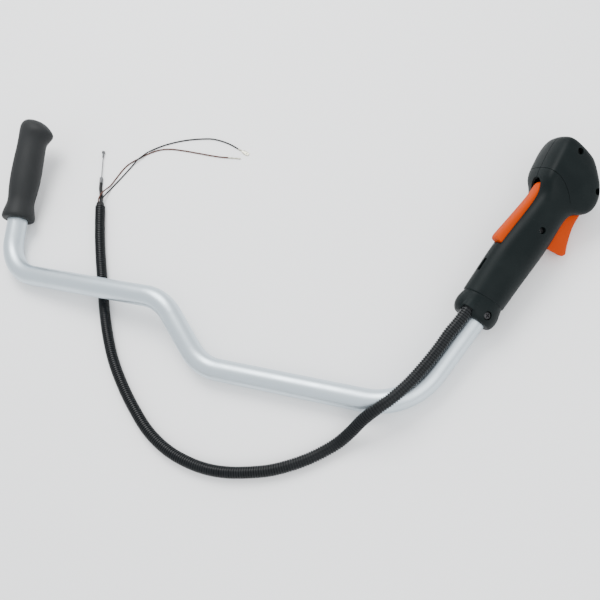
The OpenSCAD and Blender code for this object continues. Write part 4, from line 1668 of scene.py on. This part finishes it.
@dataclass
class LockLever:
    """The interlock lever on the palm side, modelled in the handle's frame in millimetres."""

    start: float = 108.0
    rows: tuple[tuple[float, ...], ...] = (
        (84.1, 28.4, 33.4, 5.4, 3.4), (84.3, 27.2, 35, 6.5, 3.8), (85.2, 26.4, 36.6, 6.9, 4.1), (87, 26, 37.4, 7, 4.2),
        (90, 26, 37.6, 7, 4.2), (94, 26.2, 37.3, 7, 4.2), (100, 26.5, 36.6, 7, 4.2), (113, 27, 35.4, 7, 4.2),
        (128, 26.4, 34.1, 7, 4.2), (141, 25, 33.3, 7, 4.2), (148, 23.2, 33.2, 7, 4), (153, 21.6, 33.7, 6.9, 3.8),
        (157, 21, 34.4, 6.5, 3.6), (160, 22, 34.3, 5.7, 3.3), (162, 23.6, 33.2, 4.3, 3), (162.9, 25, 31.2, 2.8, 2.6),
    )
    pivot: tuple[float, float] = (26.0, 266.0)

    def build(self, shop: Paintshop) -> bpy.types.Object:
        """Model the lever: a slim bar, hollow on its inside, round at both ends.

        Args:
            shop: Where it gets its finish.

        Returns:
            The piece.
        """
        sections = [Section(self.start + z, low, high, w, w, power) for z, low, high, w, power in self.rows]
        piece = Drawn("orange_interlock_lever", sections).make()
        carve(
            piece,
            [
                cross_drum("pin_bore", 1.55, -30, 30, self.pivot, 24),
                block("channel", (0, -5, self.start + 90), (29.6, 5, self.start + 142)),
            ],
        )
        set_down(piece, PLACES.handle)
        smooth(piece, 38)
        return shop.dress(piece, Stuff.LEVER, "interlock", "lever_plastic", "interlock_lever")


@dataclass
class LockSpring:
    """The small coil spring under the interlock lever, modelled in the handle's frame in millimetres."""

    foot: Point = (19.4, 2.5, 240.0)
    length: float = 9.7
    radius: float = 2.0
    wire: float = 0.7
    turns: float = 5.5
    pressed: float = 0.72

    def build(self, shop: Paintshop) -> bpy.types.Object:
        """Model the spring with closed ends.

        Args:
            shop: Where it gets its finish.

        Returns:
            The piece.
        """
        steps = 132
        points = []
        for k in range(steps + 1):
            turn = self.turns * k / steps
            closed = min(turn, 1) + max(turn - self.turns + 1, 0)
            open_turns = min(max(turn - 1, 0), self.turns - 2)
            pitch = (self.length - 2 * self.wire) / (self.turns - 2)
            rise = closed * self.wire + open_turns * pitch
            angle = math.tau * turn
            points.append(Vector((rise, self.radius * math.cos(angle), self.radius * math.sin(angle))) * MM)
        piece = round_cord("interlock_coil_spring", points, self.wire * MM, 2)
        set_down(piece, PLACES.handle @ Matrix.Translation(Vector(self.foot) * MM))
        shop.dress(piece, Stuff.ZINC, "bar", "zinc_steel", "interlock_spring")
        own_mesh(piece)
        return piece


@dataclass
class StopSlider:
    """The stop switch's slider on the handle's rear, modelled in the handle's frame in millimetres."""

    at: tuple[float, float] = (14.0, 294.0)
    face: float = -27.5

    def build(self, shop: Paintshop) -> bpy.types.Object:
        """Model the slider: a ribbed thumb plate, its stem and the plate behind the wall.

        Args:
            shop: Where it gets its finish.

        Returns:
            The piece.
        """
        (x, z), y = self.at, self.face
        piece = block("ribbed_stop_slider", (x - 6, y - 3, z - 9), (x + 6, y - 0.4, z + 9))
        apply_modifier(piece, "BEVEL", width=0.8 * MM, segments=3)
        stem = block("stem", (x - 3, y - 1, z - 4), (x + 3, y + 7, z + 4))
        inner = block("inner", (x - 5, y + 4.4, z - 6), (x + 5, y + 7, z + 6))
        carve(piece, [stem, inner], "UNION")
        groove = block("groove", (x - 7, y - 4, -0.6), (x + 7, y - 2.2, 0.6))
        with Bench(groove) as bench:
            bench.pick(lambda co: co.y < (y - 3.9) * MM)
            bench.resize((1, 1, 2.2), (0, 0, 0))
        for k in range(-2, 3):
            copy = twin(groove, "groove_copy")
            set_down(copy, Matrix.Translation((0, 0, (z + 2.6 * k) * MM)))
            carve(piece, [copy])
        scrap(groove)
        set_down(piece, PLACES.handle)
        smooth(piece, 38)
        return shop.dress(piece, Stuff.SLIDER, "switch", "slider_plastic", "stop_slider")


@dataclass
class Fasteners:
    """The handle's screws, and the collar's bolt and nut, modelled in the handle's frame in millimetres."""

    screws: tuple[Point, ...] = ((26, 315, 13), (-16.5, 297, 13), (7.2, 226, 14.5))
    tip: float = -12.0
    bolt: Point = (0, 122, 15.5)
    bolt_tip: float = -17.6
    nut_face: float = -14.4
    nut_across: float = 8.0

    def pan_head(self, name: str, shank: float, head: float, length: float) -> bpy.types.Object:
        """A pan head screw with a cross recess, its head's underside at the origin and its head along Z.

        Args:
            name: The piece's name.
            shank: The shank's radius.
            head: The head's radius.
            length: The shank's length.

        Returns:
            The object.
        """
        tall = head * 0.75
        piece = lathed(
            name,
            [
                (-length, shank * 0.7), (-length + 0.5, shank), (0, shank), (0, head * 0.97), (0.2, head),
                (tall * 0.55, head * 0.98), (tall * 0.8, head * 0.88), (tall * 0.94, head * 0.7), (tall, head * 0.42),
            ],
            32,
        )
        wide, long, deep = head * 0.13, head * 0.56, tall * 0.35
        carve(
            piece,
            [
                block("cross", (-long, -wide, deep), (long, wide, tall + 1)),
                block("cross", (-wide, -long, deep), (wide, long, tall + 1)),
            ],
        )
        return piece

    def build(self, shop: Paintshop) -> None:
        """Model the fasteners and put them in their places.

        Args:
            shop: Where they get their finish.
        """
        to_front = Matrix.Rotation(math.radians(-90), 4, "X")
        first = self.pan_head("handle_screw", 1.7, 3.3, self.screws[0][2] - self.tip)
        for k, (x, z, seat) in enumerate(self.screws, 1):
            piece = twin(first, f"handle_screw_{k}")
            turn = Matrix.Rotation(math.radians(25 * k), 4, "Z")
            set_down(piece, PLACES.handle @ Matrix.Translation(Vector((x, seat, z)) * MM) @ to_front @ turn)
            smooth(piece, 35)
            shop.dress(piece, Stuff.DARK_STEEL, "bar", "dark_steel", "handle_screws")
        scrap(first)
        x, z, seat = self.bolt
        piece = self.pan_head("collar_clamp_bolt", 2.5, 4.3, seat - self.bolt_tip)
        set_down(piece, PLACES.handle @ Matrix.Translation(Vector((x, seat, z)) * MM) @ to_front)
        smooth(piece, 35)
        shop.dress(piece, Stuff.DARK_STEEL, "bar", "dark_steel", "collar_bolt")
        corner = self.nut_across / 2 / math.cos(math.radians(30))
        nut = lathed("collar_hex_nut", [(-4, corner * 0.9), (-3.6, corner), (-0.4, corner), (0, corner * 0.9)], 6)
        carve(nut, [drum("nut_bore", 2.52, -5, 1, (0, 0), 32)])
        set_down(nut, PLACES.handle @ Matrix.Translation(Vector((x, self.nut_face, z)) * MM) @ to_front)
        smooth(nut, 25)
        shop.dress(nut, Stuff.ZINC, "bar", "zinc_steel", "collar_nut")


@dataclass
class LeftGrip:
    """The moulded rubber grip on the left upright, modelled in its own frame in millimetres."""

    start: float = 69.5
    bore: float = 12.55
    end: float = 204.3
    rows: tuple[tuple[float, ...], ...] = (
        (0, 17.2, 17.2, 17.2), (0.25, 18.9, 18.9, 18.9), (1.5, 20.3, 20.3, 20.3), (4, 21, 21.2, 21),
        (8, 20.6, 20.7, 20.4), (14, 19.3, 19, 19), (21, 17.5, 17.2, 17.2), (28, 17.2, 16.8, 16.8), (38, 18.5, 18.3, 17.8),
        (50, 19.5, 19.5, 18.8), (66, 19.8, 19.9, 19.2), (84, 19.4, 19.7, 18.9), (100, 18.5, 19.1, 18.4),
        (110, 18.3, 18.8, 18.4), (115, 18.4, 21.4, 18.8), (119, 18.8, 25.8, 19.2), (123, 19, 28.2, 19.6),
        (127.4, 19.2, 25.8, 19.2), (133, 19.1, 20.6, 17.8), (138, 17.8, 14.8, 14.7), (141, 15.6, 7.8, 11.2),
        (143, 12.8, 1.6, 7.2),
    )

    def build(self, shop: Paintshop) -> bpy.types.Object:
        """Model the grip.

        Args:
            shop: Where it gets its finish.

        Returns:
            The piece.
        """
        sections = [
            Section(self.start + z * 143 / 144, -left, right, deep, deep, 2.0) for z, left, right, deep in self.rows
        ]
        piece = Drawn("left_rubber_grip", sections).make()
        carve(piece, [drum("bore", self.bore, self.start - 3, self.end, (0, 0), 96)])
        set_down(piece, PLACES.grip)
        smooth(piece, 40)
        return shop.dress(piece, Stuff.RUBBER, "bar", "grip_rubber", "left_grip")


KEPT = {
    Stuff.TUBE: ("handlebar_tube",),
    Stuff.ZINC: (
        "trigger_pin", "trigger_spring", "interlock_pin", "handle_end_ferrule", "trigger_nipple",
    ),
    Stuff.BRASS: ("contact_blade", "contact_post"),
    Stuff.SHEATH: ("sheath_in_handle",),
    Stuff.WIRE: ("wire_in_handle",),
    Stuff.BLACK_LEAD: ("black_lead_in_handle",),
    Stuff.BROWN_LEAD: ("brown_lead_in_handle",),
}


def main() -> None:
    """Build the whole handlebar."""
    logging.basicConfig(level=logging.INFO, format="%(message)s")
    studio = Studio()
    studio.camera()
    shop = Paintshop()
    conduit = Conduit()
    hose, route = conduit.hose(shop)
    plug = EndPlug().build(shop)
    cable = Cable()
    sheath, route = cable.sheath(shop)
    on_cable = [cable.ferrule(shop), cable.wire(shop), cable.nipple(shop)]
    leads, terminals = Leads(), Terminals()
    ends = {"black": terminals.flag(shop, leads.black), "brown": terminals.bullet(shop, leads.brown)}
    for colour, terminal in ends.items():
        lead, route = leads.lead(shop, colour)
    for assembly in (ThrottleHandle(), Trigger(), LockLever(), LockSpring(), StopSlider(), Fasteners(), LeftGrip()):
        assembly.build(shop)
    studio.floor()
    studio.light()
    for stuff, nodes in KEPT.items():
        for node in nodes:
            shop.repaint(node, stuff)


if __name__ == "__main__":
    main()
